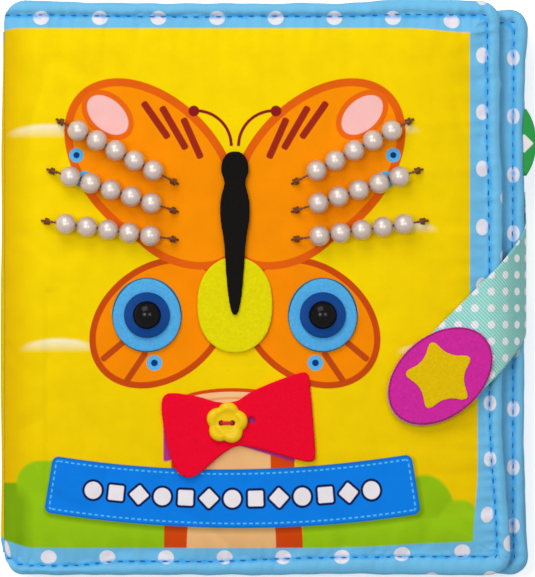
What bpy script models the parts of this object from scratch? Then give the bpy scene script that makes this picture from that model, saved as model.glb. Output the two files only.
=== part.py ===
"""Crinkle cloth book: padded leaves sewn into a cloth spine, bead rows, a turning bow and a ribbon strap.

The closed book lies on its back cover. X runs from the spine to the fore edge, Y from the foot of the
book to its head, and Z up through the leaves. The origin is the middle of the back cover's underside.
"""
import math

import bmesh
import bpy
from mathutils import Matrix, Vector

# Overall sizes of the closed book, in metres
BOOK_WIDTH = 0.2012
PAGE_HEIGHT = 0.2164
FRONT_HEIGHT = 0.2202
FRONT_RISE = 0.0012
FRONT_SHORTFALL = 0.0088

# Thickness of each padded leaf at its crown, and the slack between touching pieces
FRONT_THICKNESS = 0.0076
PAGE_THICKNESS = 0.0066
BACK_THICKNESS = 0.0070
CLEARANCE = 0.0003

# Cloth, filling and the sewn rim of a leaf
CLOTH = 0.0006
FILM = 0.0003
ROLL_WIDTH = 0.0054
ROLL_HEIGHT = 0.0024
CROWN_RUN = 0.0150
FOLD_RUN = 0.0080
CORNER_RADIUS = 0.0080
STITCH_CORNER_RADIUS = 0.0015
EDGE_SWAY = 0.0004

# Felt and plastic trim of the front cover
MOTIF_SPAN = 0.1348
MOTIF_RISE = 0.0162
MOTIF_INSET = 0.0112
FELT = 0.0012
OVAL_WIDTH = 0.0262
OVAL_HEIGHT = 0.0281
DISC_DIAMETER = 0.0176
DISC_THICKNESS = 0.0012
DOME_DIAMETER = 0.0108
DOME_HEIGHT = 0.0040
BODY_LENGTH = 0.0640
BODY_WIDTH = 0.0116
TAIL_WIDTH = 0.0290
TAIL_LENGTH = 0.0370

# Bead rows
PEARL_DIAMETER = 0.0080
PEARL_SPACE = 0.0002
PEARL_BORE = 0.0018
CORD_DIAMETER = 0.0010
CORD_SLACK = 0.0034
CORD_RISE_RUN = 0.0018
KNOT_DIAMETER = 0.0024
PEARLS_IN_ROW = 5

# Bow and flower button
BOW_WIDTH = 0.0590
BOW_HEIGHT = 0.0403
BOW_FELT = 0.0014
BUTTON_DIAMETER = 0.0162
BUTTON_TURN = math.radians(7)
BUTTON_THICKNESS = 0.0026
BUTTON_DISH = 0.0008
BUTTON_HOLE = 0.0018
BUTTON_HOLE_PITCH = 0.0042
SHANK_DIAMETER = 0.0020

# Ribbon strap, its felt end and its fastening
STRAP_WIDTH = 0.0280
RIBBON = 0.0005
STRAP_ANGLE = math.radians(45)
PATCH_LENGTH = 0.0446
PATCH_WIDTH = 0.0308
PATCH_TILT = math.radians(39.4)
PATCH_INSET = 0.0240
PATCH_DROP = 0.0323
PATCH_BACKING_MARGIN = 0.0007
TAPE = 0.0006
TAPE_LENGTH = 0.0220
TAPE_WIDTH = 0.0130

# Green tab in the fore edge
TAB_LENGTH = 0.0258
TAB_REACH = 0.0042
TAB_THICKNESS = 0.0010
TAB_RISE = 0.0578

OVERRUN = 0.0020

# The sewn rim in section: distance from the edge and height above the seam, as shares of the roll
ROLL_SHARES = ((0.00, 0.00), (0.02, 0.50), (0.28, 1.00), (0.68, 0.94), (1.00, 0.00))
# The crown beyond the stitch line: distance and height, as shares of the crown's run and rise
CROWN_SHARES = ((0.16, 0.34), (0.55, 0.80), (1.00, 1.00))
# How far the same rings lie from the spine, as shares of the fold's run
SPINE_INSET_SHARES = (0.0, 0.015, 0.16, 0.34, 0.58, 0.80, 1.1, 1.5)

# Places of the trim, as shares of the motif's span from its centre
OVAL_PLACE_SHARES = (0.251, -0.186)
TAIL_PLACE_SHARES = (0.0, -0.157)
BODY_PLACE_SHARES = (0.0, 0.050)
# Each bead row: inner knot from the centre, and the angle at which the row climbs outwards
ROW_SHARES = ((0.163, 0.189, 28), (0.163, 0.109, 18), (0.163, 0.029, 8))
PEARL_REST_SHARE = 0.3
BUTTON_PLACE_SHARES = (-0.023, -0.494)
# The bow's outline about its button, from the upper left round by the right, as shares of its width and height
BOW_OUTLINE_SHARES = (
    (-0.383, 0.278), (-0.303, 0.283), (-0.178, 0.253), (-0.059, 0.191), (0.068, 0.201), (0.131, 0.278),
    (0.242, 0.357), (0.480, 0.484), (0.525, 0.471), (0.541, 0.404), (0.578, -0.298), (0.566, -0.355),
    (0.529, -0.367), (0.432, -0.342), (0.195, -0.238), (0.068, -0.208), (-0.027, -0.290), (-0.154, -0.459),
    (-0.224, -0.516), (-0.288, -0.506), (-0.344, -0.429), (-0.383, -0.141), (-0.422, 0.114), (-0.420, 0.233),
)
# The black felt's half outline from head to tail, as shares of its half width and half length
BODY_OUTLINE_SHARES = (
    (0.45, 0.97), (0.85, 0.86), (0.95, 0.74), (0.62, 0.60), (0.95, 0.42),
    (1.00, 0.18), (0.70, -0.10), (0.60, -0.45), (0.42, -0.80), (0.18, -0.98),
)

# Heights worked out from the stack of leaves
BACK_MID = BACK_THICKNESS / 2
PAGE_2_MID = BACK_THICKNESS + CLEARANCE + PAGE_THICKNESS / 2
PAGE_1_MID = PAGE_2_MID + PAGE_THICKNESS + CLEARANCE
FRONT_MID = PAGE_1_MID + PAGE_THICKNESS / 2 + CLEARANCE + FRONT_THICKNESS / 2
FRONT_TOP = FRONT_MID + FRONT_THICKNESS / 2
CORD_HEIGHT = FRONT_TOP + CLEARANCE + PEARL_DIAMETER / 2
PEARL_TOP = CORD_HEIGHT + PEARL_DIAMETER / 2

# The leaves turn about one line in the spine cloth, at the height where an open cover rests on its pearls
HINGE_X = -BOOK_WIDTH / 2
HINGE_Z = (PEARL_TOP + CLEARANCE) / 2
ROOT_X = HINGE_X + CLOTH + CLEARANCE
FORE_X = BOOK_WIDTH / 2
FRONT_X = FORE_X - FRONT_SHORTFALL
MOTIF_X = -MOTIF_INSET
MOTIF_Y = MOTIF_RISE

CORNER_STEPS = 3
SPINE_END_SHARE = 0.06
TURN_STEPS = 24
PEARL_STEPS = 10
PEARL_ARC_STEPS = 5

for leftover in list(bpy.data.objects):
    bpy.data.objects.remove(leftover)

book = bpy.data.collections.new("crinkle_cloth_book")
bpy.context.scene.collection.children.link(book)
cutters = bpy.data.collections.new("cutters")
bpy.context.scene.collection.children.link(cutters)


def finish(name, colour, roughness, metallic=0.0):
    """A Principled material of one colour."""
    material = bpy.data.materials.new(name)
    material.use_nodes = True
    shader = material.node_tree.nodes["Principled BSDF"]
    shader.inputs["Base Color"].default_value = (*colour, 1.0)
    shader.inputs["Roughness"].default_value = roughness
    shader.inputs["Metallic"].default_value = metallic
    material.diffuse_color = (*colour, 1.0)
    return material


PRINTED_CLOTH = finish("printed_cotton", (0.95, 0.68, 0.01), 0.85)
LINING_CLOTH = finish("dotted_cotton", (0.18, 0.55, 0.83), 0.85)
PAGE_CLOTH = finish("plain_cotton", (0.85, 0.80, 0.62), 0.85)
SPINE_CLOTH = finish("spine_cotton", (0.90, 0.62, 0.01), 0.85)
WADDING = finish("polyester_wadding", (0.85, 0.85, 0.85), 0.95)
CRINKLE = finish("crinkle_film", (0.75, 0.80, 0.85), 0.30)
BLUE_FELT = finish("light_blue_felt", (0.11, 0.46, 0.83), 0.95)
BLACK_FELT = finish("black_felt", (0.005, 0.004, 0.003), 0.95)
YELLOW_FELT = finish("yellow_felt", (0.83, 0.75, 0.0), 0.95)
RED_FELT = finish("red_felt", (0.80, 0.0, 0.025), 0.95)
MAGENTA_FELT = finish("magenta_felt", (0.63, 0.02, 0.35), 0.95)
PALE_FELT = finish("pale_felt", (0.80, 0.76, 0.70), 0.95)
PEARL_COAT = finish("pearl_lacquer", (0.80, 0.70, 0.68), 0.25)
DOME_PLASTIC = finish("domed_plastic", (0.003, 0.08, 0.34), 0.15)
BUTTON_PLASTIC = finish("yellow_button_plastic", (0.91, 0.68, 0.0), 0.2)
GROSGRAIN = finish("grosgrain_ribbon", (0.26, 0.63, 0.53), 0.8)
HOOK_TAPE = finish("hook_and_loop_tape", (0.80, 0.80, 0.80), 0.9)
GREEN_TAB = finish("green_satin_tab", (0.01, 0.32, 0.04), 0.6)


def place(name, data, material, collection=book):
    """Link a mesh or curve as a named object with one material."""
    piece = bpy.data.objects.new(name, data)
    collection.objects.link(piece)
    if not data.materials:
        data.materials.append(material)
    return piece


def as_cutter(piece):
    """Keep a piece out of the finished book and show it as wire."""
    piece.hide_render = True
    piece.display_type = "WIRE"
    return piece


def pivot(name, x, y, z, turn=0.0):
    """An empty on a joint's axis."""
    empty = bpy.data.objects.new(name, None)
    empty.location = (x, y, z)
    empty.rotation_euler = (0, 0, turn)
    book.objects.link(empty)
    bpy.context.view_layer.update()
    return empty


def hang_on(parent, pieces):
    """Parent pieces to a pivot and leave them where they are."""
    bpy.context.view_layer.update()
    for piece in pieces:
        piece.parent = parent
        piece.matrix_parent_inverse = parent.matrix_world.inverted()


def between(table, distance):
    """Read a height from a table of distances and heights, joined by straight lines."""
    if distance <= table[0][0]:
        return table[0][1]
    for (near, low), (far, high) in zip(table, table[1:]):
        if distance <= far:
            return low + (high - low) * (distance - near) / (far - near)
    return table[-1][1]


class Leaf:
    """The outline and the padded section of one leaf of the book."""

    def __init__(self, right, height, rise, middle, thickness):
        self.left = ROOT_X
        self.right = right
        self.foot = rise - height / 2
        self.head = rise + height / 2
        self.middle = middle
        seam = CLEARANCE / 2
        stitch = seam + CLOTH
        half = thickness / 2
        rim = [(d * ROLL_WIDTH, seam + h * (ROLL_HEIGHT - seam)) for d, h in ROLL_SHARES[:-1]]
        crown = [(ROLL_WIDTH + d * CROWN_RUN, stitch + h * (half - stitch)) for d, h in CROWN_SHARES]
        self.section = rim + [(ROLL_WIDTH, stitch)] + crown
        self.insets = [distance for distance, height_above in self.section]
        self.spine_insets = [share * FOLD_RUN for share in SPINE_INSET_SHARES]
        quarter = [(share, math.sqrt(max(0.0, 1 - (1 - min(share, 1)) ** 2))) for share in SPINE_INSET_SHARES]
        self.fold = [(share * FOLD_RUN, stitch + h * (half - stitch)) for share, h in quarter]
        self.fold[0] = (0, seam)

    def height_at(self, x, y, inset):
        """Height of the cloth's outer face above the leaf's middle plane."""
        beside = inset if x > 0 else min(self.head - y, y - self.foot)
        return min(between(self.section, beside), between(self.fold, x - self.left))

    def ring(self, index, side_steps, sway=0.0):
        """One closed ring of the leaf's outline, as places with the height of the cloth there."""
        inset = self.insets[index]
        left = self.left + self.spine_insets[index]
        right = self.right - inset
        foot = self.foot + inset
        head = self.head - inset
        radius = max(CORNER_RADIUS - inset, STITCH_CORNER_RADIUS)
        corners = ((right, head, 0), (left, head, 1), (left, foot, 2), (right, foot, 3))
        arcs = []
        for x, y, quarter in corners:
            centre_x = x - radius if quarter in (0, 3) else x + radius
            centre_y = y - radius if quarter in (0, 1) else y + radius
            angles = [math.pi / 2 * (quarter + step / CORNER_STEPS) for step in range(CORNER_STEPS + 1)]
            arcs.append([(centre_x + radius * math.cos(a), centre_y + radius * math.sin(a)) for a in angles])
        places = []
        for number, arc in enumerate(arcs):
            places += arc
            start = arc[-1]
            end = arcs[(number + 1) % 4][0]
            shares = [step / side_steps for step in range(1, side_steps)]
            if number == 1:
                shares = [SPINE_END_SHARE] + shares + [1 - SPINE_END_SHARE]
            for share in shares:
                bow = sway * math.sin(2 * math.pi * share) if number != 1 else 0
                along = Vector(end) - Vector(start)
                across = Vector((along.y, -along.x)).normalized()
                places.append(tuple(Vector(start) + along * share + across * bow))
        return [(x, y, self.height_at(x, y, inset)) for x, y in places]


FRONT = Leaf(FRONT_X, FRONT_HEIGHT, FRONT_RISE, FRONT_MID, FRONT_THICKNESS)
PAGE_1 = Leaf(FORE_X, PAGE_HEIGHT, 0, PAGE_1_MID, PAGE_THICKNESS)
PAGE_2 = Leaf(FORE_X, PAGE_HEIGHT, 0, PAGE_2_MID, PAGE_THICKNESS)
BACK = Leaf(FORE_X, PAGE_HEIGHT, 0, BACK_MID, BACK_THICKNESS)


def loft(name, rings, capped_start):
    """A mesh through rings of equal count, with its last ring closed and its first closed on request."""
    bm = bmesh.new()
    loops = []
    for ring in rings:
        corners = [bm.verts.new(point) for point in ring]
        loops.append([bm.edges.new((corners[i - 1], corners[i])) for i in range(len(corners))])
    for loop, following in zip(loops, loops[1:]):
        bmesh.ops.bridge_loops(bm, edges=loop + following)
    bmesh.ops.contextual_create(bm, geom=loops[-1])
    if capped_start:
        bmesh.ops.contextual_create(bm, geom=loops[0])
    bmesh.ops.recalc_face_normals(bm, faces=bm.faces)
    mesh = bpy.data.meshes.new(name)
    bm.to_mesh(mesh)
    bm.free()
    return mesh


def cloth_face(name, leaf, side, material, side_steps=1, sway=0.0):
    """One face cloth of a leaf: rolled at its rim, drawn in at the stitch line and crowned inside it."""
    rings = []
    for index in range(len(leaf.insets)):
        ring = leaf.ring(index, side_steps, sway)
        rings.append([(x, y, leaf.middle + side * height) for x, y, height in ring])
    mesh = loft(name, rings, False)
    widest = max(mesh.polygons, key=lambda polygon: polygon.area)
    if widest.normal.z * side < 0:
        mesh.flip_normals()
    mesh.shade_smooth()
    piece = place(name, mesh, material)
    wall = piece.modifiers.new("cloth thickness", "SOLIDIFY")
    wall.thickness = CLOTH
    wall.offset = -1
    wall.use_even_offset = True
    return piece


def filling(name, leaf, top_of, bottom_of, material):
    """A sheet in the crown of a leaf, whose two faces follow the height of the cloth over it."""
    first = len(ROLL_SHARES)
    top = []
    bottom = []
    for index in range(first + 1, len(leaf.insets)):
        ring = leaf.ring(index, 1)
        top.append([(x, y, leaf.middle + top_of(height)) for x, y, height in ring])
        bottom.append([(x, y, leaf.middle + bottom_of(height)) for x, y, height in ring])
    return place(name, loft(name, list(reversed(bottom)) + top, True), material)


def under_cloth(height):
    """Highest place of a filling right under the upper cloth."""
    return height - CLOTH - CLEARANCE


def under_film(height):
    """Highest place of a filling under the crinkle film."""
    return under_cloth(height) - FILM - CLEARANCE


def film_base(height):
    """Underside of the crinkle film."""
    return under_cloth(height) - FILM


def over_lower_cloth(height):
    """Lowest place of a filling, right over the lower cloth."""
    return -under_cloth(height)


def over_lower_film(height):
    """Lowest place of a filling over a film that lies on the lower cloth."""
    return -under_film(height)


def lower_film_top(height):
    """Upper side of a film that lies on the lower cloth."""
    return -film_base(height)


def flat_piece(name, outlines, thickness, x, y, bottom, turn, material, bevel_share=0.0):
    """A flat piece from closed outlines about its own origin; inner outlines are holes."""
    curve = bpy.data.curves.new(name, "CURVE")
    curve.dimensions = "2D"
    curve.fill_mode = "BOTH"
    bevel = thickness * bevel_share
    curve.extrude = thickness / 2 - bevel
    curve.bevel_depth = bevel
    curve.bevel_resolution = 1
    curve.offset = -bevel
    for outline in outlines:
        spline = curve.splines.new("POLY")
        spline.points.add(len(outline) - 1)
        for point, (px, py) in zip(spline.points, outline):
            point.co = (px, py, 0, 1)
        spline.use_cyclic_u = True
    piece = place(name, curve, material)
    piece.location = (x, y, bottom + thickness / 2)
    piece.rotation_euler = (0, 0, turn)
    return piece


def to_mesh(piece):
    """Turn a curve object into a welded mesh object of the same name and place."""
    bpy.context.view_layer.update()
    evaluated = piece.evaluated_get(bpy.context.evaluated_depsgraph_get())
    mesh = bpy.data.meshes.new_from_object(evaluated)
    name = piece.name
    home = piece.matrix_world.copy()
    collection = piece.users_collection[0]
    bpy.data.objects.remove(piece)
    bm = bmesh.new()
    bm.from_mesh(mesh)
    bmesh.ops.remove_doubles(bm, verts=bm.verts, dist=CLEARANCE / 30)
    bmesh.ops.recalc_face_normals(bm, faces=bm.faces)
    bm.to_mesh(mesh)
    bm.free()
    welded = bpy.data.objects.new(name, mesh)
    welded.matrix_world = home
    collection.objects.link(welded)
    return welded


def join_with(piece, tool, operation):
    """Cut a piece by a tool, or unite it with one, and keep the tool among the cutters."""
    for collection in list(tool.users_collection):
        collection.objects.unlink(tool)
    cutters.objects.link(tool)
    as_cutter(tool)
    step = piece.modifiers.new(operation.lower(), "BOOLEAN")
    step.operation = operation
    step.object = tool
    step.solver = "EXACT"


def ellipse(width, height, steps=TURN_STEPS, x=0.0, y=0.0, tilt=0.0):
    """Points round an ellipse."""
    points = []
    for step in range(steps):
        angle = 2 * math.pi * step / steps
        place_on = Matrix.Rotation(tilt, 2) @ Vector((width / 2 * math.cos(angle), height / 2 * math.sin(angle)))
        points.append((x + place_on.x, y + place_on.y))
    return points


def two_lobes(width, length, steps=TURN_STEPS * 2):
    """Points round a shape with two full ends and flatter sides between them."""
    points = []
    for step in range(steps):
        angle = 2 * math.pi * step / steps
        radius = math.hypot(width / 2 * math.cos(angle), length / 2 * math.sin(angle))
        points.append((radius * math.cos(angle), radius * math.sin(angle)))
    return points


def mirrored(half, width, height):
    """A closed outline from its right half, which runs from the top to the bottom."""
    right = [(x * width / 2, y * height / 2) for x, y in half]
    return right + [(-x, y) for x, y in reversed(right)]


def block(name, length, width, height, x, y, bottom, turn, material, collection=book):
    """A rectangular sheet with square corners."""
    mesh = bpy.data.meshes.new(name)
    bm = bmesh.new()
    size = Matrix.Diagonal((length, width, height, 1))
    bmesh.ops.create_cube(bm, size=1, matrix=size)
    bm.to_mesh(mesh)
    bm.free()
    piece = place(name, mesh, material, collection)
    piece.location = (x, y, bottom + height / 2)
    piece.rotation_euler = (0, 0, turn)
    return piece


def turned(name, profile, steps, material, closed=False):
    """A turned piece from a profile of distance from the axis and height."""
    mesh = bpy.data.meshes.new(name)
    bm = bmesh.new()
    corners = [bm.verts.new((radius, 0, height)) for radius, height in profile]
    for start, end in zip(corners, corners[1:]):
        bm.edges.new((start, end))
    if closed:
        bm.edges.new((corners[-1], corners[0]))
    bm.to_mesh(mesh)
    bm.free()
    piece = place(name, mesh, material)
    turn = piece.modifiers.new("turn", "SCREW")
    turn.steps = steps
    turn.render_steps = steps
    turn.use_merge_vertices = True
    turn.merge_threshold = CLEARANCE / 30
    turn.use_smooth_shade = True
    return piece


def motif(shares):
    """A place on the front cover from shares of the motif's span."""
    return MOTIF_X + shares[0] * MOTIF_SPAN, MOTIF_Y + shares[1] * MOTIF_SPAN


def make_leaves():
    """The four padded leaves, each two cloths with wadding between, and a crinkle film in the covers."""
    front = [
        cloth_face("front_cover_cloth", FRONT, 1, PRINTED_CLOTH, 4, EDGE_SWAY),
        filling("front_cover_crinkle_film", FRONT, under_cloth, film_base, CRINKLE),
        filling("front_cover_wadding", FRONT, under_film, over_lower_cloth, WADDING),
        cloth_face("front_cover_lining", FRONT, -1, LINING_CLOTH),
    ]
    page_1 = [
        cloth_face("inner_leaf_1_upper_cloth", PAGE_1, 1, PAGE_CLOTH),
        filling("inner_leaf_1_wadding", PAGE_1, under_cloth, over_lower_cloth, WADDING),
        cloth_face("inner_leaf_1_lower_cloth", PAGE_1, -1, PAGE_CLOTH),
    ]
    page_2 = [
        cloth_face("inner_leaf_2_upper_cloth", PAGE_2, 1, PAGE_CLOTH),
        filling("inner_leaf_2_wadding", PAGE_2, under_cloth, over_lower_cloth, WADDING),
        cloth_face("inner_leaf_2_lower_cloth", PAGE_2, -1, PAGE_CLOTH),
    ]
    cloth_face("back_cover_lining", BACK, 1, LINING_CLOTH)
    filling("back_cover_wadding", BACK, under_cloth, over_lower_film, WADDING)
    filling("back_cover_crinkle_film", BACK, lower_film_top, over_lower_cloth, CRINKLE)
    cloth_face("back_cover_cloth", BACK, -1, PRINTED_CLOTH)
    return front, page_1, page_2


def make_spine():
    """The spine cloth: a wall past the leaves' roots, with a fold line at the middle of each leaf."""
    foot = BACK.foot + CORNER_RADIUS
    length = PAGE_HEIGHT - 2 * CORNER_RADIUS
    bm = bmesh.new()
    corners = [bm.verts.new((HINGE_X, foot, z)) for z in (BACK_MID, PAGE_2_MID, PAGE_1_MID, FRONT_MID)]
    edges = [bm.edges.new(pair) for pair in zip(corners, corners[1:])]
    swept = bmesh.ops.extrude_edge_only(bm, edges=edges)
    moved = [item for item in swept["geom"] if isinstance(item, bmesh.types.BMVert)]
    bmesh.ops.translate(bm, verts=moved, vec=(0, length, 0))
    mesh = bpy.data.meshes.new("spine_cloth")
    bm.to_mesh(mesh)
    bm.free()
    if mesh.polygons[0].normal.x > 0:
        mesh.flip_normals()
    piece = place("spine_cloth", mesh, SPINE_CLOTH)
    wall = piece.modifiers.new("cloth thickness", "SOLIDIFY")
    wall.thickness = CLOTH
    wall.offset = -1


def make_appliques():
    """Felt ovals with domed buttons, the yellow tail felt and the black body felt."""
    base = FRONT_TOP + CLEARANCE
    pieces = []
    for side, word in ((-1, "left"), (1, "right")):
        x, y = motif((side * OVAL_PLACE_SHARES[0], OVAL_PLACE_SHARES[1]))
        oval = ellipse(OVAL_WIDTH, OVAL_HEIGHT)
        pieces.append(flat_piece(word + "_oval_felt", [oval], FELT, x, y, base, 0, BLUE_FELT))
        pieces.append(make_dome(word + "_domed_disc", x, y, base + FELT + CLEARANCE))
    x, y = motif(TAIL_PLACE_SHARES)
    tail = two_lobes(TAIL_WIDTH, TAIL_LENGTH)
    pieces.append(flat_piece("tail_felt", [tail], FELT, x, y, base, 0, YELLOW_FELT))
    x, y = motif(BODY_PLACE_SHARES)
    body = mirrored(BODY_OUTLINE_SHARES, BODY_WIDTH, BODY_LENGTH)
    layer = base + FELT + CLEARANCE
    pieces.append(flat_piece("body_felt", [body], FELT, x, y, layer, 0, BLACK_FELT))
    return pieces


def make_dome(name, x, y, bottom):
    """A round disc with a dome in its middle, moulded as one piece."""
    disc = DISC_DIAMETER / 2
    dome = DOME_DIAMETER / 2
    edge = DISC_THICKNESS / 3
    profile = []
    arc_steps = 4
    for step in range(arc_steps + 1):
        angle = math.pi / 2 * step / arc_steps
        profile.append((dome * math.sin(angle), DISC_THICKNESS + DOME_HEIGHT * math.cos(angle)))
    profile += [(disc - edge, DISC_THICKNESS), (disc, DISC_THICKNESS - edge), (disc, 0), (0, 0)]
    piece = turned(name, profile, TURN_STEPS, DOME_PLASTIC)
    piece.location = (x, y, bottom)
    return piece


def make_pearl_mesh():
    """One bored pearl, turned about the axis of its bore."""
    radius = PEARL_DIAMETER / 2
    bore = PEARL_BORE / 2
    mouth = math.asin(bore / radius)
    profile = []
    for step in range(PEARL_ARC_STEPS + 1):
        angle = mouth + (math.pi - 2 * mouth) * step / PEARL_ARC_STEPS
        profile.append((radius * math.sin(angle), radius * math.cos(angle)))
    pattern = turned("pearl", profile, PEARL_STEPS, PEARL_COAT, closed=True)
    bpy.context.view_layer.update()
    mesh = bpy.data.meshes.new_from_object(pattern.evaluated_get(bpy.context.evaluated_depsgraph_get()))
    bpy.data.objects.remove(pattern)
    mesh.name = "pearl"
    return mesh


def make_cord(name, inner, direction):
    """A knotted cord from its inner stitch to its outer stitch, lifted to the bores of its pearls."""
    pitch = PEARL_DIAMETER + PEARL_SPACE
    run = PEARLS_IN_ROW * pitch + CORD_SLACK
    total = run + 2 * CORD_RISE_RUN + 2 * KNOT_DIAMETER
    root = FRONT_TOP - CLOTH / 2
    low = FRONT_TOP + KNOT_DIAMETER / 2
    fat = KNOT_DIAMETER / CORD_DIAMETER
    half = [
        (0, root, 1), (0, low - KNOT_DIAMETER / 4, 1), (KNOT_DIAMETER / 4, low, fat * 0.8),
        (KNOT_DIAMETER * 0.6, low, fat), (KNOT_DIAMETER, low, 1),
        (KNOT_DIAMETER + CORD_RISE_RUN / 2, (low + CORD_HEIGHT) / 2, 1),
        (KNOT_DIAMETER + CORD_RISE_RUN, CORD_HEIGHT, 1),
    ]
    stations = half + [(total - along, height, thick) for along, height, thick in reversed(half)]
    curve = bpy.data.curves.new(name, "CURVE")
    curve.dimensions = "3D"
    curve.bevel_depth = CORD_DIAMETER / 2
    curve.bevel_resolution = 1
    curve.use_fill_caps = True
    spline = curve.splines.new("POLY")
    spline.points.add(len(stations) - 1)
    for point, (along, height, thick) in zip(spline.points, stations):
        point.co = (inner.x + direction.x * along, inner.y + direction.y * along, height, 1)
        point.radius = thick
    return to_mesh(place(name, curve, PRINTED_CLOTH))


def make_bead_rows(cover):
    """Three cords a side on the front cover, each with five pearls that slide along it together."""
    pearl = make_pearl_mesh()
    pitch = PEARL_DIAMETER + PEARL_SPACE
    rows = []
    for side, word in ((-1, "left"), (1, "right")):
        for number, (share_x, share_y, climb) in enumerate(ROW_SHARES, 1):
            x, y = motif((side * share_x, share_y))
            angle = math.radians(climb)
            direction = Vector((side * math.cos(angle), math.sin(angle)))
            cord = make_cord("cord_" + word + "_" + str(number), Vector((x, y)), direction)
            join_with(cover, cord, "UNION")
            turn = math.atan2(direction.y, direction.x)
            outer_slack = CORD_SLACK * PEARL_REST_SHARE
            outer = KNOT_DIAMETER + CORD_RISE_RUN + PEARLS_IN_ROW * pitch + CORD_SLACK - outer_slack
            row = pivot("row_" + word + "_" + str(number), x, y, CORD_HEIGHT, turn)
            hang_on(FRONT_PIVOT, [row])
            for bead in range(PEARLS_IN_ROW):
                piece = place("pearl_" + word + "_" + str(number) + "_" + str(bead + 1), pearl, PEARL_COAT)
                piece.parent = row
                piece.location = (outer - pitch * (PEARLS_IN_ROW - bead - 1 / 2), 0, 0)
                piece.rotation_euler = (0, math.pi / 2, 0)
            rows.append((word, number, direction, outer_slack))
    return rows


def make_bow():
    """The felt bow with the hole that its button's shank runs through; its origin is on that hole."""
    x, y = motif(BUTTON_PLACE_SHARES)
    outline = [(share_x * BOW_WIDTH, share_y * BOW_HEIGHT) for share_x, share_y in BOW_OUTLINE_SHARES]
    hole = ellipse(SHANK_DIAMETER + 2 * CLEARANCE, SHANK_DIAMETER + 2 * CLEARANCE, TURN_STEPS // 2)
    bottom = FRONT_TOP + CLEARANCE
    return flat_piece("felt_bow", [outline, hole], BOW_FELT, x, y, bottom, 0, RED_FELT)


def make_button():
    """A five-petal button with a dished face, two holes and the thread shank that holds it."""
    x, y = motif(BUTTON_PLACE_SHARES)
    bottom = FRONT_TOP + 2 * CLEARANCE + BOW_FELT
    petals = 5
    notch_share = 0.15
    steps = petals * 10
    outline = []
    for step in range(steps):
        angle = 2 * math.pi * step / steps
        petal = abs(math.cos(petals * angle / 2))
        radius = BUTTON_DIAMETER / 2 * (1 - notch_share * (1 - petal))
        outline.append((radius * math.sin(angle + BUTTON_TURN), radius * math.cos(angle + BUTTON_TURN)))
    holes = []
    for side in (-1, 1):
        holes.append(ellipse(BUTTON_HOLE, BUTTON_HOLE, TURN_STEPS // 3, side * BUTTON_HOLE_PITCH / 2, 0))
    name = "flower_button"
    button = to_mesh(flat_piece(name, [outline] + holes, BUTTON_THICKNESS, x, y, bottom, 0, BUTTON_PLASTIC))
    dish = bpy.data.meshes.new("button_dish")
    bm = bmesh.new()
    dish_radius = BUTTON_HOLE_PITCH / 2 + BUTTON_HOLE
    bmesh.ops.create_cone(bm, cap_ends=True, segments=TURN_STEPS, radius1=dish_radius,
                          radius2=dish_radius + BUTTON_DISH, depth=2 * BUTTON_DISH)
    bm.to_mesh(dish)
    bm.free()
    cutter = place("button_dish", dish, BUTTON_PLASTIC, cutters)
    cutter.location = (x, y, bottom + BUTTON_THICKNESS)
    join_with(button, cutter, "DIFFERENCE")
    shank_length = BOW_FELT + CLEARANCE + BUTTON_THICKNESS / 4
    shank_mesh = bpy.data.meshes.new("button_shank")
    bm = bmesh.new()
    bmesh.ops.create_cone(bm, cap_ends=True, segments=TURN_STEPS // 2, radius1=SHANK_DIAMETER / 2,
                          radius2=SHANK_DIAMETER / 2, depth=shank_length)
    bm.to_mesh(shank_mesh)
    bm.free()
    shank = place("button_shank", shank_mesh, BUTTON_PLASTIC, cutters)
    shank.location = (x, y, FRONT_TOP + CLEARANCE + shank_length / 2)
    join_with(button, shank, "UNION")
    return button


def strap_path():
    """The strap's run over the cover and down the fore edge: x and z of its middle layer."""
    flat = FRONT_TOP + 2 * TAPE + 3 * CLEARANCE + RIBBON / 2
    side_x = FORE_X + CLEARANCE + RIBBON / 2
    leave = FRONT_X - ROLL_WIDTH - CROWN_RUN / 5
    lip = (FRONT_X + ROLL_HEIGHT / 2, FRONT_MID + ROLL_HEIGHT + RIBBON)
    shoulder = (side_x, PAGE_1_MID + ROLL_HEIGHT + 2 * RIBBON)
    return flat, leave, lip, shoulder, (side_x, BACK_MID)


def ribbon_piece(name, stations, material):
    """A ribbon from stations of (x, y, z) pairs for its lower and upper edge."""
    bm = bmesh.new()
    lower = [bm.verts.new(pair[0]) for pair in stations]
    upper = [bm.verts.new(pair[1]) for pair in stations]
    lower_edges = [bm.edges.new(pair) for pair in zip(lower, lower[1:])]
    upper_edges = [bm.edges.new(pair) for pair in zip(upper, upper[1:])]
    bmesh.ops.bridge_loops(bm, edges=lower_edges + upper_edges)
    bmesh.ops.recalc_face_normals(bm, faces=bm.faces)
    mesh = bpy.data.meshes.new(name)
    bm.to_mesh(mesh)
    bm.free()
    piece = place(name, mesh, material)
    wall = piece.modifiers.new("ribbon thickness", "SOLIDIFY")
    wall.thickness = RIBBON
    wall.offset = 0
    return piece


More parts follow.
